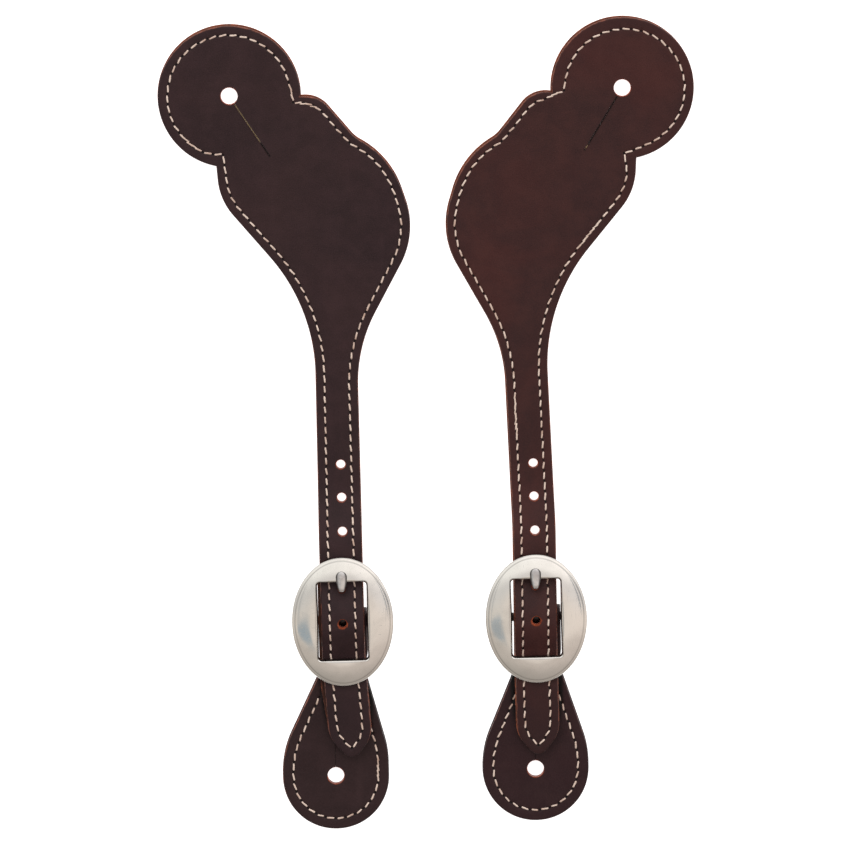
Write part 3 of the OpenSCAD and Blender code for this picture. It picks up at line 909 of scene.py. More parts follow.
def build_frame(side):
    """The domed oval frame with its two lugs round the bar."""
    corners = [math.atan2(WINDOW_Y + s * (WINDOW_L / 2 - 0.5), c * (WINDOW_W / 2 - 0.4))
               for s in (1, -1) for c in (1, -1)]
    angles = {round(2 * math.pi * i / FRAME_STEPS, 5) for i in range(FRAME_STEPS)}
    near_corner = range(-CORNER_STEPS, CORNER_STEPS + 1)
    angles |= {round((c + CORNER_STEP * k) % (2 * math.pi), 5) for c in corners for k in near_corner}
    angles = sorted(angles)
    angles = [a for i, a in enumerate(angles) if i == 0 or a - angles[i - 1] > CLOSEST_ANGLES]
    points, faces = ring_between(frame_section, angles, oval_reach, window_reach)
    piece = side.mesh(f"{side.name}_frame_dome", points, faces)
    for x in (-WINDOW_W / 2 - LUG_T, WINDOW_W / 2):
        low = [(LUG_R * math.cos(t), BAR_Z + LUG_R * math.sin(t)) for t in np.linspace(-math.pi, 0, 25)]
        flare = [(LUG_R + out, z) for out, z in LUG_FLARE]
        profile = low + flare + [(-y, z) for y, z in flare[::-1]]
        lug_points, lug_faces = slab_along_x(profile, x, x + LUG_T, 0.25)
        combine(piece, side.mesh("lug", lug_points, lug_faces), "UNION")
    bore_points, bore_faces = tube_x(BAR_R + 0.01, -14, 14, 0, BAR_Z)
    combine(piece, side.mesh("bore", bore_points, bore_faces), "DIFFERENCE")
    sharpen(piece, 38)
    # the frame is painted dark where shade and reflections fall
    set_mark(piece, "rim", [frame_painted_shade(p) for p in side.flat_places(piece)])
    return piece


def frame_painted_shade(place):
    """How dark the frame is painted at a place: painted shade and reflection in the line inside its rim,
    round its window and under it.
    """
    x, y, z = place
    angle, r = math.atan2(y, x), math.hypot(x, y)
    from_rim, from_window = oval_reach(angle) - r, r - window_reach(angle)
    if z < 9.3 or from_rim < 0.06:
        return 0.9
    if z < 11.7 and from_window < 0.15:
        return 1.0
    return max(0.45 * bump_at(from_rim, LINE_AT, LINE_HALF), 0.5 * bump_at(from_rim, 0.0, 0.3),
               0.4 * bump_at(from_window, BEVEL, 0.16))


# The tongue seen from the side: its shank's corners as (y, z, radius), and its bend onto the frame
TONGUE_SHANK = [(1.9, 2.9, 0), (12.75, 2.95, 1.3), (12.25, 8.2, 9)]
SHOULDER_Y = 11.95
SHOULDER_R = 0.95
TONGUE_STEP = 0.3
CURL_STEPS = 56
BAR_PLAY = 0.05  # gap between the bar and the tongue's curl
DROP_NECK = 1.6  # width of the tongue's drop where it starts
DROP_FROM = 10.6
DROP_RUN = 6.4  # length in which it reaches its full width


def tongue_width(y, left):
    """Width of the tongue's drop at y, with `left` still to go to its tip: narrow, then round."""
    part = min(1.0, max(0.0, (y - DROP_FROM) / DROP_RUN))
    width = DROP_NECK + (2 * TONGUE_TIP_R - DROP_NECK) * math.sin(math.pi / 2 * part) ** 1.2
    if left < TONGUE_TIP_R:
        width = max(0.5, 2 * math.sqrt(max(0.0, TONGUE_TIP_R ** 2 - (TONGUE_TIP_R - left) ** 2)))
    return width


def build_tongue(side):
    """The tongue: a curl round the bar, a shank up through the strap, and a hammered drop on the frame."""
    mid = TONGUE_TOP - TONGUE_T / 2
    corners = TONGUE_SHANK + [(SHOULDER_Y, mid, SHOULDER_R), (TONGUE_TIP_Y, mid, 0)]
    path = fine(rounded(corners, TONGUE_STEP), TONGUE_STEP)
    lengths = np.concatenate([[0], np.cumsum([np.linalg.norm(b - a) for a, b in zip(path, path[1:])])])
    widths, thick = [], []
    for p, s in zip(path, lengths):
        left = lengths[-1] - s
        widths.append(tongue_width(p[0], left) if p[1] > mid - 1.2 and left < 9 else TONGUE_W)
        thick.append(TONGUE_T * (0.5 + 0.5 * math.sqrt(min(1.0, left / 1.2))))
    points, faces = swept(path, widths, thick, 28, 2.3)
    for p in points:
        if p[2] > mid:
            marks = noise.noise((p[0] * 1.1, p[1] * 0.8, 3.1)) + 0.4
            p[2] -= HAMMERED * marks * min(1.0, (p[2] - mid) / 0.4)
    piece = side.mesh(f"{side.name}_tongue_steel", points, faces)
    inner = BAR_R + BAR_PLAY
    outer = inner + TONGUE_T
    curl = []
    half = TONGUE_LOOP_W / 2
    section = [(outer - 0.35, -half), (outer - 0.1, -half + 0.1), (outer, -half + 0.35),
               (outer, half - 0.35), (outer - 0.1, half - 0.1), (outer - 0.35, half),
               (inner + 0.15, half), (inner, half - 0.15), (inner, -half + 0.15), (inner + 0.15, -half)]
    for i in range(CURL_STEPS):
        turn = 2 * math.pi * i / CURL_STEPS
        for r, x in section:
            curl.append((x, r * math.cos(turn), BAR_Z + r * math.sin(turn)))
    combine(piece, side.mesh("curl", np.array(curl), ring_faces(CURL_STEPS, len(section))), "UNION")
    sharpen(piece, 45)
    # the tongue is painted dark where it lies in shade
    set_mark(piece, "rim", [tongue_painted_shade(p, mid) for p in side.flat_places(piece)])
    return piece


def tongue_painted_shade(place, mid):
    """The tongue is painted dark, as shade, but for the top of its drop."""
    x, y, z = place
    if z < mid + 0.1:
        return 0.95
    half = tongue_width(y, TONGUE_TIP_Y - y) / 2
    return 0.95 * float(ease((abs(x) / max(half, 0.1) - 0.6) / 0.2))


# ---- materials ----
def srgb(r, g, b):
    """A linear colour from 0-255 screen values."""
    linear = [((c / 255 + 0.055) / 1.055) ** 2.4 if c > 10 else c / 255 / 12.92 for c in (r, g, b)]
    return (*linear, 1.0)


class Nodes:
    """Short names for building the node tree of a new material or world."""

    def __init__(self, owner):
        owner.use_nodes = True
        self.owner = owner
        self.tree = owner.node_tree
        self.shader = self.tree.nodes.get("Principled BSDF")

    def add(self, kind, **settings):
        node = self.tree.nodes.new(kind)
        for key, value in settings.items():
            if key in node.inputs.keys():
                node.inputs[key].default_value = value
            else:
                setattr(node, key, value)
        return node

    def link(self, out, into):
        self.tree.links.new(out, into)

    def attribute(self, name):
        return self.add("ShaderNodeAttribute", attribute_name=name, attribute_type="GEOMETRY")

    def mark(self, name):
        return self.attribute(name).outputs["Fac"]

    def place(self, scale, offset=(0, 0, 0)):
        """Flat coordinates on the leather, stretched by scale."""
        source = self.attribute("flat")
        mapping = self.add("ShaderNodeMapping")
        mapping.inputs["Location"].default_value = offset
        mapping.inputs["Scale"].default_value = scale
        self.link(source.outputs["Vector"], mapping.inputs["Vector"])
        return mapping.outputs["Vector"]

    def flat_y(self):
        """How far along the strap a place is, from the buckle's bar towards the tab, in metres."""
        split = self.add("ShaderNodeSeparateXYZ")
        self.link(self.attribute("flat").outputs["Vector"], split.inputs[0])
        return split.outputs["Y"]

    def noise(self, vector, scale, detail=4.0, rough=0.55, distortion=0.0):
        node = self.add("ShaderNodeTexNoise")
        node.inputs["Scale"].default_value = scale
        node.inputs["Detail"].default_value = detail
        node.inputs["Roughness"].default_value = rough
        node.inputs["Distortion"].default_value = distortion
        self.link(vector, node.inputs["Vector"])
        return node.outputs["Fac"]

    def voronoi(self, vector, scale, feature="F1"):
        node = self.add("ShaderNodeTexVoronoi", feature=feature)
        node.inputs["Scale"].default_value = scale
        self.link(vector, node.inputs["Vector"])
        return node.outputs["Distance"]

    def spread(self, value, low, high, to_low=0.0, to_high=1.0):
        node = self.add("ShaderNodeMapRange", interpolation_type="SMOOTHSTEP")
        for key, number in (("From Min", low), ("From Max", high), ("To Min", to_low), ("To Max", to_high)):
            node.inputs[key].default_value = number
        self.link(value, node.inputs["Value"])
        return node.outputs["Result"]

    def math(self, operation, a, b):
        node = self.add("ShaderNodeMath", operation=operation)
        for socket, value in zip(node.inputs, (a, b)):
            if isinstance(value, (int, float)):
                socket.default_value = value
            else:
                self.link(value, socket)
        return node.outputs["Value"]

    def mix(self, factor, a, b, blend="MIX"):
        """A colour between a and b, each a colour or another node's output."""
        node = self.add("ShaderNodeMix", data_type="RGBA", blend_type=blend)
        if isinstance(factor, (int, float)):
            node.inputs["Factor"].default_value = factor
        else:
            self.link(factor, node.inputs["Factor"])
        for key, value in (("A", a), ("B", b)):
            socket = next(s for s in node.inputs if s.name == key and s.type == "RGBA")
            if isinstance(value, tuple):
                socket.default_value = value
            else:
                self.link(value, socket)
        return next(s for s in node.outputs if s.type == "RGBA")

    def bump(self, height, distance, strength=1.0, under=None):
        node = self.add("ShaderNodeBump")
        node.inputs["Distance"].default_value = distance
        node.inputs["Strength"].default_value = strength
        self.link(height, node.inputs["Height"])
        if under is not None:
            self.link(under, node.inputs["Normal"])
        return node.outputs["Normal"]

    def finish(self, colour=None, roughness=None, normal=None, **fixed):
        for key, value in (("Base Color", colour), ("Roughness", roughness), ("Normal", normal)):
            if value is not None:
                self.link(value, self.shader.inputs[key])
        for key, value in fixed.items():
            self.shader.inputs[key.replace("_", " ")].default_value = value
        return self.owner


# Colours that all the grain leather shares; each pair is a darker and a lighter tone
PORE = srgb(20, 12, 12)
# Painted shade on the tail past the buckle
TAIL_SHADE = srgb(30, 17, 20)
BURNISHED = (srgb(78, 44, 36), srgb(126, 72, 56))
RAW = (srgb(100, 40, 22), srgb(158, 74, 40))
# Painted shade: the near black in stitch holes, along the slits and beside the tail
HOLE_SHADE_DARK = srgb(8, 4, 4)
TAN_SLIT = srgb(186, 164, 120)
# And those of its flesh side
FLESH = (srgb(84, 47, 36), srgb(122, 76, 56))
FIBRE = srgb(152, 104, 78)
FLESH_EDGE = (srgb(92, 44, 33), srgb(158, 86, 58))
FLESH_RAW = (srgb(128, 50, 20), srgb(196, 98, 44))
# Painted shade on the flesh side: in its stitch holes and on the lining's ledge
FLESH_HOLE_SHADE = srgb(20, 11, 9)
# The thread's wax, its dirt and the painted shade in the gaps between its strands, and the painted shade
# and reflection on the metal
WAX, GRIME, STRAND_SHADE = srgb(224, 204, 190), srgb(184, 154, 138), srgb(146, 114, 94)
METAL_SHADE = srgb(46, 42, 40)


def grain_leather(name, dark, warm, light, offset, tail_painted_shade=0.0):
    """Oiled harness leather: dark, satin and faintly clouded, with burnished edges and raw hole walls.

    tail_painted_shade is how much darker the tail is painted past the buckle: painted shade.
    """
    n = Nodes(bpy.data.materials.new(name))
    flat = n.place((1, 1, 1), offset)
    cloud = n.spread(n.noise(flat, 26, 5, 0.6, 0.6), 0.34, 0.7)
    fine_cloud = n.spread(n.noise(flat, 130, 4, 0.6), 0.35, 0.7)
    colour = n.mix(cloud, dark, warm)
    colour = n.mix(n.math("MULTIPLY", fine_cloud, 0.25), colour, light)
    streak = n.spread(n.noise(n.place((1, 0.16, 1), offset), 150, 3, 0.5), 0.6, 0.8)
    colour = n.mix(n.math("MULTIPLY", streak, 0.2), colour, light)
    grain = n.spread(n.noise(flat, 2400, 2, 0.5), 0.42, 0.68)
    colour = n.mix(n.math("MULTIPLY", grain, 0.22), colour, light)
    pore_size = n.voronoi(flat, 1700)
    pores = n.spread(pore_size, 0.05, 0.42)
    colour = n.mix(n.math("MULTIPLY", n.spread(pore_size, 0.3, 0.0), 0.35), colour, PORE)
    # painted shade: darker along the tail past the buckle
    colour = n.mix(n.spread(n.flat_y(), -0.018, -0.034, 0, tail_painted_shade), colour, TAIL_SHADE)
    rim, bore, hole_and_shade = n.mark("rim"), n.mark("bore"), n.mark("hole_and_shade")
    edge_noise = n.noise(flat, 420, 5, 0.65)
    burnish = n.mix(n.spread(edge_noise, 0.38, 0.62), *BURNISHED)
    # the burnished edge, painted lit where it faces one way and painted shaded elsewhere
    worn_and_lit = n.spread(n.math("ADD", rim, n.math("MULTIPLY", edge_noise, 0.5)), 0.78, 1.3)
    colour = n.mix(worn_and_lit, colour, burnish)
    raw = n.mix(n.spread(edge_noise, 0.35, 0.7), *RAW)
    colour = n.mix(n.spread(bore, 0.42, 0.95), colour, raw)
    # painted shade: near black in stitch holes, along slits and beside the tail
    colour = n.mix(n.spread(hole_and_shade, 0.05, 0.45), colour, HOLE_SHADE_DARK)
    colour = n.mix(n.spread(n.mark("tan"), 0.35, 0.9), colour, TAN_SLIT)
    roughness = n.math("ADD", n.spread(fine_cloud, 0, 1, 0.4, 0.52), n.math("MULTIPLY", worn_and_lit, 0.1))
    normal = n.bump(pores, 0.00007, 0.55)
    normal = n.bump(n.noise(flat, 700, 4, 0.6), 0.00012, 0.5, normal)
    normal = n.bump(n.noise(n.place((1, 0.3, 1), offset), 210, 3, 0.55), 0.00022, 0.35, normal)
    return n.finish(colour, roughness, normal, Specular_IOR_Level=0.18, Sheen_Weight=0.03,
                    Sheen_Roughness=0.4)


def lining(name, offset):
    """The flesh side: matt brown, with short felted fibres."""
    n = Nodes(bpy.data.materials.new(name))
    flat = n.place((1, 1, 1), offset)
    fibre = n.noise(n.place((1, 0.35, 1), offset), 900, 6, 0.7, 1.2)
    cloud = n.spread(n.noise(flat, 40, 5, 0.6, 0.4), 0.35, 0.68)
    colour = n.mix(cloud, *FLESH)
    colour = n.mix(n.math("MULTIPLY", n.spread(fibre, 0.45, 0.7), 0.5), colour, FIBRE)
    rim, bore, hole_and_shade = n.mark("rim"), n.mark("bore"), n.mark("hole_and_shade")
    edge_noise = n.noise(flat, 420, 5, 0.65)
    burnish = n.mix(n.spread(edge_noise, 0.38, 0.62), *FLESH_EDGE)
    colour = n.mix(n.spread(rim, 0.5, 0.9), colour, burnish)
    raw = n.mix(n.spread(edge_noise, 0.35, 0.7), *FLESH_RAW)
    colour = n.mix(n.spread(bore, 0.42, 0.95), colour, raw)
    # painted shade in the flesh side's stitch holes and on its ledge
    colour = n.mix(n.spread(hole_and_shade, 0.15, 0.7), colour, FLESH_HOLE_SHADE)
    normal = n.bump(fibre, 0.00025, 0.8)
    normal = n.bump(n.noise(flat, 260, 5, 0.6), 0.0002, 0.5, normal)
    roughness = n.spread(fibre, 0.3, 0.7, 0.72, 0.9)
    return n.finish(colour, roughness, normal, Specular_IOR_Level=0.2, Sheen_Weight=0.15,
                    Sheen_Roughness=0.5)


def waxed_thread(name):
    """Cream cord, a little grimy."""
    n = Nodes(bpy.data.materials.new(name))
    flat = n.place((1, 1, 1))
    dirt = n.spread(n.noise(flat, 180, 4, 0.6), 0.38, 0.72)
    strand = n.noise(n.place((1.6, 1, 1)), 2600, 3, 0.6)
    colour = n.mix(dirt, WAX, GRIME)
    # painted shade in the gaps between the strands
    colour = n.mix(n.math("MULTIPLY", n.spread(strand, 0.5, 0.75), 0.35), colour, STRAND_SHADE)
    normal = n.bump(strand, 0.00012, 0.7)
    roughness = n.spread(dirt, 0, 1, 0.55, 0.75)
    return n.finish(colour, roughness, normal, Specular_IOR_Level=0.3, Sheen_Weight=0.2,
                    Sheen_Roughness=0.4)


def object_place(n, scale):
    """Places in the piece's own space, stretched by scale."""
    mapping = n.add("ShaderNodeMapping")
    mapping.inputs["Scale"].default_value = scale
    n.link(n.add("ShaderNodeTexCoord").outputs["Object"], mapping.inputs["Vector"])
    return mapping.outputs["Vector"]


def metal(name, colours, roughs, scratch, dent):
    """Plated metal with smudges, hairline scratches and shallow unevenness."""
    n = Nodes(bpy.data.materials.new(name))
    here = object_place(n, (1, 1, 1))
    smudge = n.spread(n.noise(here, 75, 5, 0.6, 0.5), 0.38, 0.7)
    hair = n.noise(object_place(n, (1, 0.05, 1)), 2600, 2, 0.5)
    cross = n.noise(object_place(n, (0.06, 1, 1)), 2100, 2, 0.5)
    scratches = n.math("MAXIMUM", n.spread(hair, 0.66, 0.74), n.spread(cross, 0.68, 0.75))
    colour = n.mix(smudge, colours[0], colours[1])
    colour = n.mix(n.math("MULTIPLY", scratches, 0.25), colour, colours[2])
    # painted shade and reflection, where the piece's rim mark is set
    metal_shade = n.mark("rim")
    colour = n.mix(n.math("MULTIPLY", metal_shade, 0.92), colour, METAL_SHADE)
    roughness = n.spread(smudge, 0, 1, roughs[0], roughs[1])
    roughness = n.math("ADD", roughness, n.math("MULTIPLY", scratches, 0.12))
    roughness = n.math("ADD", roughness, n.math("MULTIPLY", metal_shade, 0.2))
    normal = n.bump(scratches, 0.00001, scratch)
    normal = n.bump(n.noise(here, 160, 3, 0.5), dent, 0.5, normal)
    return n.finish(colour, roughness, normal, Metallic=1.0)


MATERIALS = {
    "left_grain": grain_leather(
        "left_grain_leather", srgb(38, 24, 26), srgb(46, 29, 30), srgb(66, 45, 47), (0.3, 0.1, 0), 0.35),
    "right_grain": grain_leather(
        "right_grain_leather", srgb(47, 26, 26), srgb(60, 29, 27), srgb(77, 44, 40), (0.7, 0.4, 0), 0.45),
    # The teardrops' own copies of the grain leather are darker: painted shade, for the dimmer light at
    # their end.
    "left_drop_grain": grain_leather(
        "left_teardrop_leather", srgb(34, 21, 22), srgb(42, 26, 27), srgb(62, 43, 44), (0.3, 0.9, 0)),
    "right_drop_grain": grain_leather(
        "right_teardrop_leather", srgb(36, 18, 21), srgb(42, 21, 24), srgb(60, 40, 40), (0.8, 0.2, 0)),
    "lining": lining("flesh_lining_leather", (0.2, 0.6, 0)),
    "thread": waxed_thread("cream_waxed_thread"),
    "silver": metal(
        "polished_nickel", (srgb(240, 236, 229), srgb(228, 224, 217), srgb(188, 186, 184)), (0.1, 0.17),
        0.4, 0.00003),
    "hammered": metal(
        "hammered_nickel", (srgb(228, 225, 222), srgb(190, 187, 187), srgb(140, 138, 140)), (0.24, 0.38),
        0.8, 0.0003),
    # The bar's metal is painted dark: painted shade, for the bar lying under the straps.
    "steel": metal(
        "dull_steel", (srgb(84, 80, 80), srgb(58, 56, 56), srgb(40, 38, 38)), (0.3, 0.5), 0.8, 0.0001),
}


def wear(piece, key):
    """Gives a piece its material."""
    piece.data.materials.clear()
    piece.data.materials.append(MATERIALS[key])
    return piece


# ---- the pieces of one strap ----
SKIVED_AND_LIT = {"left": (0.0, 1.0), "right": (0.6, 0.8)}  # the way that each strap's skived edges face, which is also the way that its edges are painted lit
DROP_LIT_EDGE = {"left": (-0.8, 0.6), "right": (0.0, 1.0)}  # and the way that each teardrop's edge faces where light is painted on it
EDGE_SHADED_PART = 0.45  # how much of its colour the edge keeps where it faces the other way: painted shade there
LIT_SIDES_TO = 105  # the narrow strap's sides are painted bright, as if lit, up to here
# how much painted light the narrow strap's sides keep
SIDE_PAINTED_LIGHT = 0.75
# Where raw leather shows along each slit, as parts of its length; the rest of the slit is painted dark, as
# shade in the slit
TAB_TAN = {"left": (0.14, 0.78), "right": (0.9, 0.97)}
SLIT_REACH = 0.2  # how far the colour reaches from the slit
# Holes with mouths worn down to raw leather: the middle of the worn ring, its radius and how bare it is
STRETCHED = (((0, -0.75), 2.15, 0.9), ((0, 11.6), 1.6, 0.5))
TAIL_SHADOW_FROM, TAIL_SHADOW_END = -16.0, -44.0  # the teardrop is painted dark along the tail between these: painted shadow of the raised tail
TAIL_SHADOW_FADE = 14.0
TAIL_SHADOW_DARK = 0.62
# How far the lining sticks out on each strap's left: in the buckle, and beyond it
LINING_OUT = {"left": (0.95, 1.3), "right": (0.0, 0.0)}
LEDGE_X = -4.5  # the lining's ledge that this shows is painted darker, as shade, from here outwards
LEDGE_Y, LEDGE_HALF = -13.0, 31.0


def paint_lit_edges(marks, points, loop, towards, long_strap):
    """Paints light on the cut edge: its colour stays where the edge faces one way and along the narrow
    strap's sides, and is painted darker, as shade, elsewhere.
    """
    outwards = -mitres(loop)
    outwards /= np.linalg.norm(outwards, axis=1)[:, None]
    bright = np.clip(outwards @ np.array(towards) / np.linalg.norm(towards), 0, 1) ** 0.6
    if long_strap:
        along = (loop[:, 1] < LIT_SIDES_TO) & (outwards[:, 1] > -0.5)
        bright = np.where(along, np.maximum(bright, SIDE_PAINTED_LIGHT * outwards[:, 0] ** 2), bright)
    index = np.flatnonzero(marks[:, RIM] > 0)
    for i in range(0, len(index), CHUNK):
        some = index[i:i + CHUNK]
        nearest = np.linalg.norm(points[some, None, :2] - loop[None], axis=2).argmin(axis=1)
        marks[some, RIM] *= EDGE_SHADED_PART + (1 - EDGE_SHADED_PART) * bright[nearest]


def paint_tail_shadow(marks, places, strap_loop):
    """Paints shadow on the teardrop beside the tail of the long strap, which stands above it."""
    y = places[:, 1]
    near = np.flatnonzero((y < TAIL_SHADOW_FROM) & (y > TAIL_SHADOW_END) & (places[:, 2] > FOLD_T))
    gap = to_loop(places[near, :2], strap_loop)
    fade = np.clip((y[near] - TAIL_SHADOW_END) / TAIL_SHADOW_FADE, 0, 1)
    # painted shadow beside the tail, written into the stitch-hole mark
    marks[near, HOLE_AND_SHADE] = np.maximum(marks[near, HOLE_AND_SHADE], TAIL_SHADOW_DARK * fade * np.clip(1.15 - gap / TAIL_SHADOW_W, 0, 1))


def mark_slit(marks, points, centre, slit, tan, dark=0.6):
    """Recolours the leather along a slit: raw between the two parts of its length in tan, else painted dark
    as shade.
    """
    angle = math.radians(slit[1])
    along = np.array([math.cos(angle), math.sin(angle)])
    offset = points[:, :2] - np.array(centre)
    part = offset @ along / slit[0]
    gap = np.abs(offset @ np.array([-along[1], along[0]]))
    on_slit = (part * slit[0] > BUTTON_R + 0.2) & (part < 1.03) & (gap < SLIT_REACH)
    raw = on_slit & (part > tan[0]) & (part < tan[1])
    near = np.clip(1.2 - gap / SLIT_REACH, 0, 1)
    marks[on_slit, BORE] = 0
    marks[on_slit & raw, TAN] = near[on_slit & raw]
    # painted shade along the closed part of the slit
    marks[on_slit & ~raw, HOLE_AND_SHADE] = dark * near[on_slit & ~raw]


def long_bend(points):
    """Lifts the flat long strap over the buckle's bar and onto the teardrop."""
    points = np.array(points, float)
    points[:, 2] += strap_z(points[:, 1])
    return points


def lining_reach(loop, name):
    """How far the lining sticks out at each point of the outline."""
    y = loop[:, 1]
    in_buckle, beyond = LINING_OUT[name]
    reach = in_buckle + (beyond - in_buckle) * ease((-14 - y) / 6)
    fade = ease((y + 42) / 20) * ease((18 - y) / 3)
    return np.where(loop[:, 0] < -5, reach * fade, 0.0)


def build_long_strap(side):
    """Both plies and the thread of the long strap, each in a far half and a near half."""
    n = side.name
    runs = long_outline(side)
    loop = joined(*runs)
    cuts = [keyhole((0, y), r) for y, r in PUNCHES]
    cuts += [keyhole((side.hole_x, side.first_hole + i * HOLE_PITCH), OPEN_R) for i in range(3)]
    cuts.append(keyhole(side.tab_centre, BUTTON_R, TAB_SLIT))
    lines = stitch_lines(runs, side)
    seams = [seam(line) for line in lines]
    lining_loop = loop.copy()
    lining_loop[:, 0] -= lining_reach(loop, n)
    pricks = np.concatenate([s[:-1] for s in seams])
    plies = {
        "leather": sheet(
            trimmed(loop, SKIVED_AND_LIT[n]), cuts, Face(STRAP_T, True, *GRAIN_FACE, pricks),
            Face(PLY_T, False, 0.1, 0.05, detailed=False), joined(*lines)),
        "lining": sheet(
            lining_loop, cuts, Face(PLY_T, True, 0.1, 0.05, detailed=False),
            Face(0.0, False, 0.4, 0.25, 0.4, pricks), joined(*lines)),
    }
    points, marks, _ = plies["leather"]
    mark_slit(marks, points, side.tab_centre, TAB_SLIT, TAB_TAN[n])
    for (x, y), reach, much in STRETCHED:
        gap = np.linalg.norm(points[:, :2] - np.array([x, y]), axis=1)
        marks[:, BORE] = np.maximum(marks[:, BORE], much * np.clip((reach - gap) / 0.3, 0, 1))
    paint_lit_edges(marks, points, loop, SKIVED_AND_LIT[n], True)
    points, marks, _ = plies["lining"]
    # The lining's ledge beside the upper ply is painted dark on the left strap: painted shade.
    ledge = (points[:, 0] < LEDGE_X) & (np.abs(points[:, 1] - LEDGE_Y) < LEDGE_HALF)
    ledge &= points[:, 2] > PLY_T - 0.03
    marks[ledge, HOLE_AND_SHADE] = 0.5 if n == "left" else 0.0
    for ply, (points, marks, faces) in plies.items():
        whole = side.mesh("whole", long_bend(points), faces, marks, points)
        far, near = cut_in_two(whole, side.at(SPLIT_Y)[1], (f"{n}_long_{ply}", f"{n}_tip_{ply}"))
        for half in (far, near):
            wear(half, "lining" if ply == "lining" else f"{n}_grain")
        join_halves(side, far, near, [f"{n}_tab_{ply}", f"{n}_strap_{ply}"], [f"{n}_tail_{ply}"])
    halves = []
    for label, keep in (("long", lambda p: p[1] > SPLIT_Y), ("tip", lambda p: p[1] <= SPLIT_Y)):
        upper = stitching(seams, STRAP_T - THREAD_SUNK, 1, long_bend, SEWN_TWICE[n], keep)
        lower = stitching(seams, THREAD_UNDER, -1, long_bend, (), keep)
        halves.append(thread_piece(side, f"{n}_{label}_thread_stitches", upper, lower))
    join_halves(side, halves[0], halves[1], [f"{n}_tab_thread", f"{n}_strap_thread"], [f"{n}_tail_thread"])


def join_halves(side, far, near, far_nodes, near_nodes):
    """Fixes both halves' placing into their points and hides the CAD part's nodes that they stand for."""
    side.at(NECK[0])
    side.at(NECK[1])
    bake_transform(far)
    side.at(TAIL[0])
    side.at(TAIL[1])
    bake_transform(near)
    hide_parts(*far_nodes)
    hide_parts(*near_nodes)


def along_fold(y, upper):
    """Where a place on the upper or lower ply is along the short strap, with 0 at the nose of the fold."""
    length, line, _ = FOLD
    if upper:
        top = line[:, 0].argmax()
        if y < FLAT_FROM:
            return length[0] - (FLAT_FROM - y)
        return float(np.interp(y, line[:top, 0], length[:top]))
    if y < FLAT_FROM:
        return length[-1] + (FLAT_FROM - y)
    return float(length[-1] - (y - FLAT_FROM))


def fold_bend(points):
    """Wraps the flat short strap round the bar. Its height is measured outwards from the inner face."""
    length, line, normal = FOLD
    points = np.array(points, float)
    s = points[:, 1]
    y = np.interp(s, length, line[:, 0])
    z = np.interp(s, length, line[:, 1])
    ny = np.interp(s, length, normal[:, 0])
    nz = np.interp(s, length, normal[:, 1])
    y = np.where(s < length[0], line[0, 0] + (s - length[0]), y)
    y = np.where(s > length[-1], line[-1, 0] - (s - length[-1]), y)
    size = np.hypot(ny, nz)
    inwards = FOLD_T - points[:, 2]
    return np.column_stack([points[:, 0], y - ny / size * inwards, z - nz / size * inwards])


def build_short_strap(side):
    """The teardrop strap: one piece of leather folded round the bar and sewn to itself."""
    n = side.name
    half = drop_outline(side)
    lower_half = [np.array([p[0], along_fold(p[1], False)]) for p in half]
    upper_half = [np.array([p[0], along_fold(p[1], True)]) for p in half]
    waist = fine([lower_half[-1], upper_half[-1]], 0.5)
    waist_back = fine([upper_half[0], lower_half[0]], 0.5)
    loop = joined(lower_half, waist, upper_half[::-1], waist_back)
    if area(loop) < 0:
        loop = loop[::-1]
    skived = trimmed(loop, (0.0, 1.0))
    skived[loop[:, 1] > 0] = loop[loop[:, 1] > 0]
    hole_low, hole_high = (along_fold(side.drop_hole, u) for u in (False, True))
    lean = side.drop_lean
    slot_low, slot_high = along_fold(SLOT_END, False), along_fold(SLOT_END, True)
    slot = rounded([(0, slot_high, 0), (SLOT_HALF, slot_high, 1.5), (SLOT_HALF, slot_low, 1.5),
                    (-SLOT_HALF, slot_low, 1.5), (-SLOT_HALF, slot_high, 1.5), (-0.4, slot_high, 0)], 0.5)
    slot = joined(fine(slot + [slot[0]], 0.6))
    slot = slot[::-1] if area(slot) > 0 else slot
    cuts = [keyhole((lean, hole_high), BUTTON_R, DROP_SLIT, SHUT_W),
            keyhole((lean, hole_low), BUTTON_R, (DROP_SLIT[0], -DROP_SLIT[1]), SHUT_W), slot]
    stitch_line = inset_runs([half, [half[-1], half[0]]], -DROP_INSET)[0]
    stitch_line = np.array([p for p in stitch_line if p[1] < SEWN_Y])
    holes = seam(stitch_line)
    pricks = [(p[0], along_fold(p[1], u)) for u in (True, False) for p in holes]
    points, marks, faces = sheet(
        skived, cuts, Face(FOLD_T, True, *GRAIN_FACE, pricks),
        Face(0.0, False, 0.12, 0.06, detailed=False), loop + mitres(loop) * DROP_INSET)
    paint_lit_edges(marks, points, loop, DROP_LIT_EDGE[n], False)
    paint_tail_shadow(marks, fold_bend(points), joined(*long_outline(side)))
    mark_slit(marks, points, (lean, hole_high), DROP_SLIT, (1.0, 0.0), 0.2)
    leather = side.mesh(f"{n}_teardrop_leather", fold_bend(points), faces, marks, points)
    wear(leather, f"{n}_drop_grain")
    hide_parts(f"{n}_short_strap")
    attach(leather, f"{n}_short_strap")

    upper = stitching([holes], DROP_T - THREAD_SUNK, 1, np.array, DROP_SEWN_TWICE[n])
    lower = stitching([holes], THREAD_UNDER, -1, np.array)
    thread = thread_piece(side, f"{n}_teardrop_thread", upper, lower)
    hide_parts(f"{n}_short_strap_thread")
    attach(thread, f"{n}_short_strap")


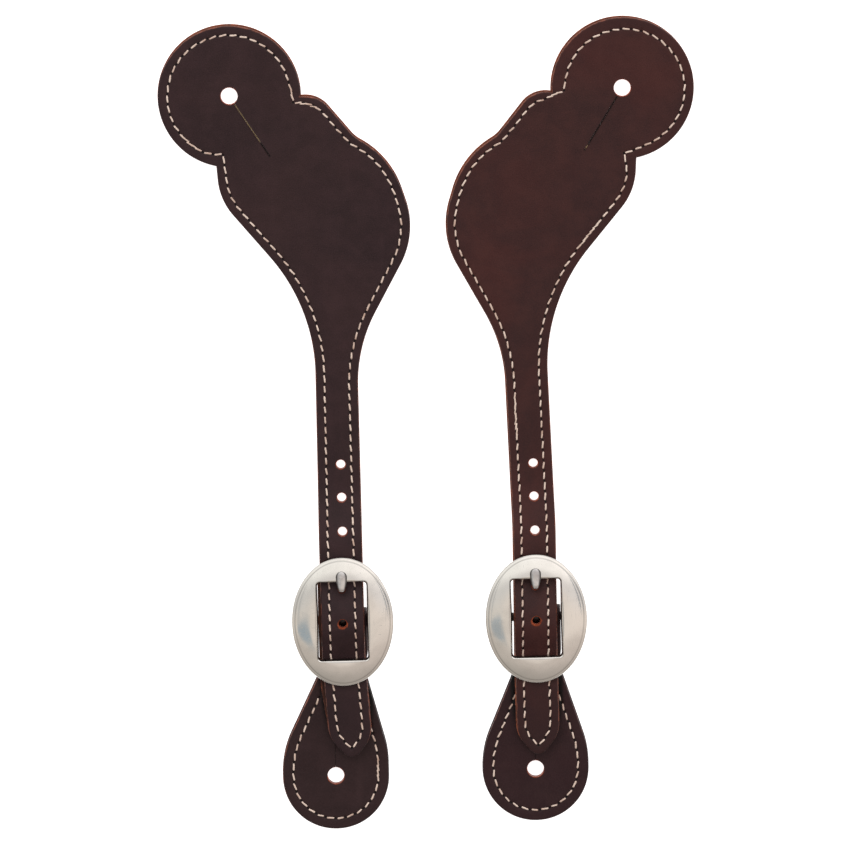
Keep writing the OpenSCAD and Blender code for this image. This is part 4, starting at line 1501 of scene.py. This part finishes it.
def build_buckle(side):
    """The frame and the tongue, and the look of the CAD part's own bar."""
    n = side.name
    dome = wear(build_frame(side), "silver")
    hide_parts(f"{n}_buckle_frame")
    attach(dome, f"{n}_buckle")
    tongue = wear(build_tongue(side), "hammered")
    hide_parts(f"{n}_tongue")
    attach(tongue, f"{n}_tongue")
    # the bar gets the dark metal: painted shade
    for material_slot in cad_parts[f"{n}_buckle_bar"].material_slots:
        material_slot.material = MATERIALS["steel"]


for side_name in ("left", "right"):
    strap_side = Side(side_name)
    build_long_strap(strap_side)
    build_short_strap(strap_side)
    build_buckle(strap_side)


# ---- floor, light and camera ----
def build_floor():
    data = bpy.data.meshes.new("floor")
    bm = bmesh.new()
    bmesh.ops.create_grid(bm, x_segments=1, y_segments=1, size=3.0)
    bm.to_mesh(data)
    bm.free()
    floor = bpy.data.objects.new("floor", data)
    floor.location.z = -0.0002
    bpy.context.scene.collection.objects.link(floor)
    n = Nodes(bpy.data.materials.new("pale_paper"))
    paper = n.finish(Base_Color=(0.86, 0.86, 0.86, 1), Roughness=0.9, Emission_Color=(1, 1, 1, 1),
                     Emission_Strength=0.9)
    data.materials.append(paper)


# The sky's colours from behind the teardrops, 0, to behind the tabs, 1
SKY = ((0.0, (0.45, 0.41, 0.37)), (0.22, (0.68, 0.61, 0.55)), (0.38, (0.90, 0.82, 0.74)),
       (0.55, (0.84, 0.81, 0.78)), (0.76, (1.2, 1.17, 1.12)), (1.0, (1.3, 1.27, 1.23)))
LEFT_TINT, RIGHT_TINT = (0.8, 0.82, 0.84, 1), (0.95, 0.94, 0.97, 1)  # what it is multiplied by on each side
# Dim things that the polished frames reflect: the middle of each as (x, y) of its direction, its half
# width and half length, and its colour
DIM = (((-0.47, -0.2), (0.22, 0.08), (0.36, 0.42, 0.47)),
       ((0.67, 0.14), (0.04, 0.26), (0.24, 0.26, 0.29)),
       ((-0.64, 0.1), (0.03, 0.3), (0.5, 0.5, 0.5)))


def squared_gap(n, value, middle, half):
    """The square of how far a node's value is from a middle, counted in half widths."""
    part = n.math("DIVIDE", n.math("SUBTRACT", value, middle), half)
    return n.math("POWER", n.math("ABSOLUTE", part, 0), 2)


def build_world():
    """A soft studio: bright behind the tabs, dimmer and warmer behind the teardrops, with dim patches."""
    world = bpy.data.worlds.new("studio")
    bpy.context.scene.world = world
    n = Nodes(world)
    direction = n.add("ShaderNodeTexCoord").outputs["Generated"]
    split = n.add("ShaderNodeSeparateXYZ")
    n.link(direction, split.inputs[0])
    x, y = split.outputs["X"], split.outputs["Y"]
    ramp = n.add("ShaderNodeValToRGB")
    ramp.color_ramp.interpolation = "EASE"
    ramp.color_ramp.elements[0].position, ramp.color_ramp.elements[1].position = 0.0, 1.0
    for position, _ in SKY[1:-1]:
        ramp.color_ramp.elements.new(position)
    for element, (_, colour) in zip(ramp.color_ramp.elements, SKY):
        element.color = (*colour, 1)
    n.link(n.spread(y, -1.0, 1.0), ramp.inputs["Fac"])
    ragged = n.noise(direction, 9, 4, 0.6, 0.5)
    tint = n.mix(n.spread(x, -0.7, 0.7), LEFT_TINT, RIGHT_TINT)
    colour = n.mix(1.0, ramp.outputs["Color"], tint, "MULTIPLY")
    for (cx, cy), (rx, ry), dim in DIM:
        across, along = squared_gap(n, x, cx, rx), squared_gap(n, y, cy, ry)
        gap = n.math("ADD", n.math("ADD", across, along), n.math("MULTIPLY", ragged, 1.3))
        colour = n.mix(n.spread(gap, 1.9, 1.2), colour, (*dim, 1))
    sky = n.tree.nodes["Background"]
    n.link(colour, sky.inputs["Color"])
    sky.inputs["Strength"].default_value = 1.0


# Each lamp's place, size and power
LAMPS = (("key", (-0.5, 1.1, 1.3), 0.9, 9.0), ("fill", (0.9, -0.5, 1.4), 0.8, 3.0))


def build_lights():
    """Two soft lamps that light the leather, but don't show in the frames."""
    for name, place, size, power in LAMPS:
        lamp = bpy.data.lights.new(name, "AREA")
        lamp.size = size
        lamp.energy = power
        light = bpy.data.objects.new(name, lamp)
        light.visible_glossy = False
        light.location = place
        light.rotation_euler = (-Vector(place)).to_track_quat("-Z", "Y").to_euler()
        bpy.context.scene.collection.objects.link(light)


CAMERA_DISTANCE = 2.6
CAMERA_FIELD = 0.3126  # width of what it sees, where the straps lie
CAMERA_TILT, CAMERA_TURN = 7.0, -1.46  # towards the tabs, and about its own line of sight, in degrees
CAMERA_CENTRE = (-0.0035, 0.0006, 0.006)
SENSOR = 36


def build_camera():
    """Nearly straight down from a long way off, a little from the tabs' side."""
    tilt, turn = math.radians(CAMERA_TILT), math.radians(CAMERA_TURN)
    lens = bpy.data.cameras.new("camera")
    lens.sensor_width = SENSOR
    lens.lens = SENSOR * CAMERA_DISTANCE / CAMERA_FIELD
    lens.clip_start, lens.clip_end = 0.1, 20
    camera = bpy.data.objects.new("camera", lens)
    back = Vector((0, math.sin(tilt), math.cos(tilt)))
    camera.location = Vector(CAMERA_CENTRE) + back * CAMERA_DISTANCE
    up = Vector((-math.sin(turn), math.cos(turn), 0))
    right = up.cross(back).normalized()
    up = back.cross(right)
    rotation = [[right[i], up[i], back[i]] for i in range(3)]
    camera.rotation_euler = Matrix(rotation).to_euler()
    bpy.context.scene.collection.objects.link(camera)
    bpy.context.scene.camera = camera


build_floor()
build_world()
build_lights()
build_camera()
bpy.context.scene.view_settings.view_transform = "Standard"
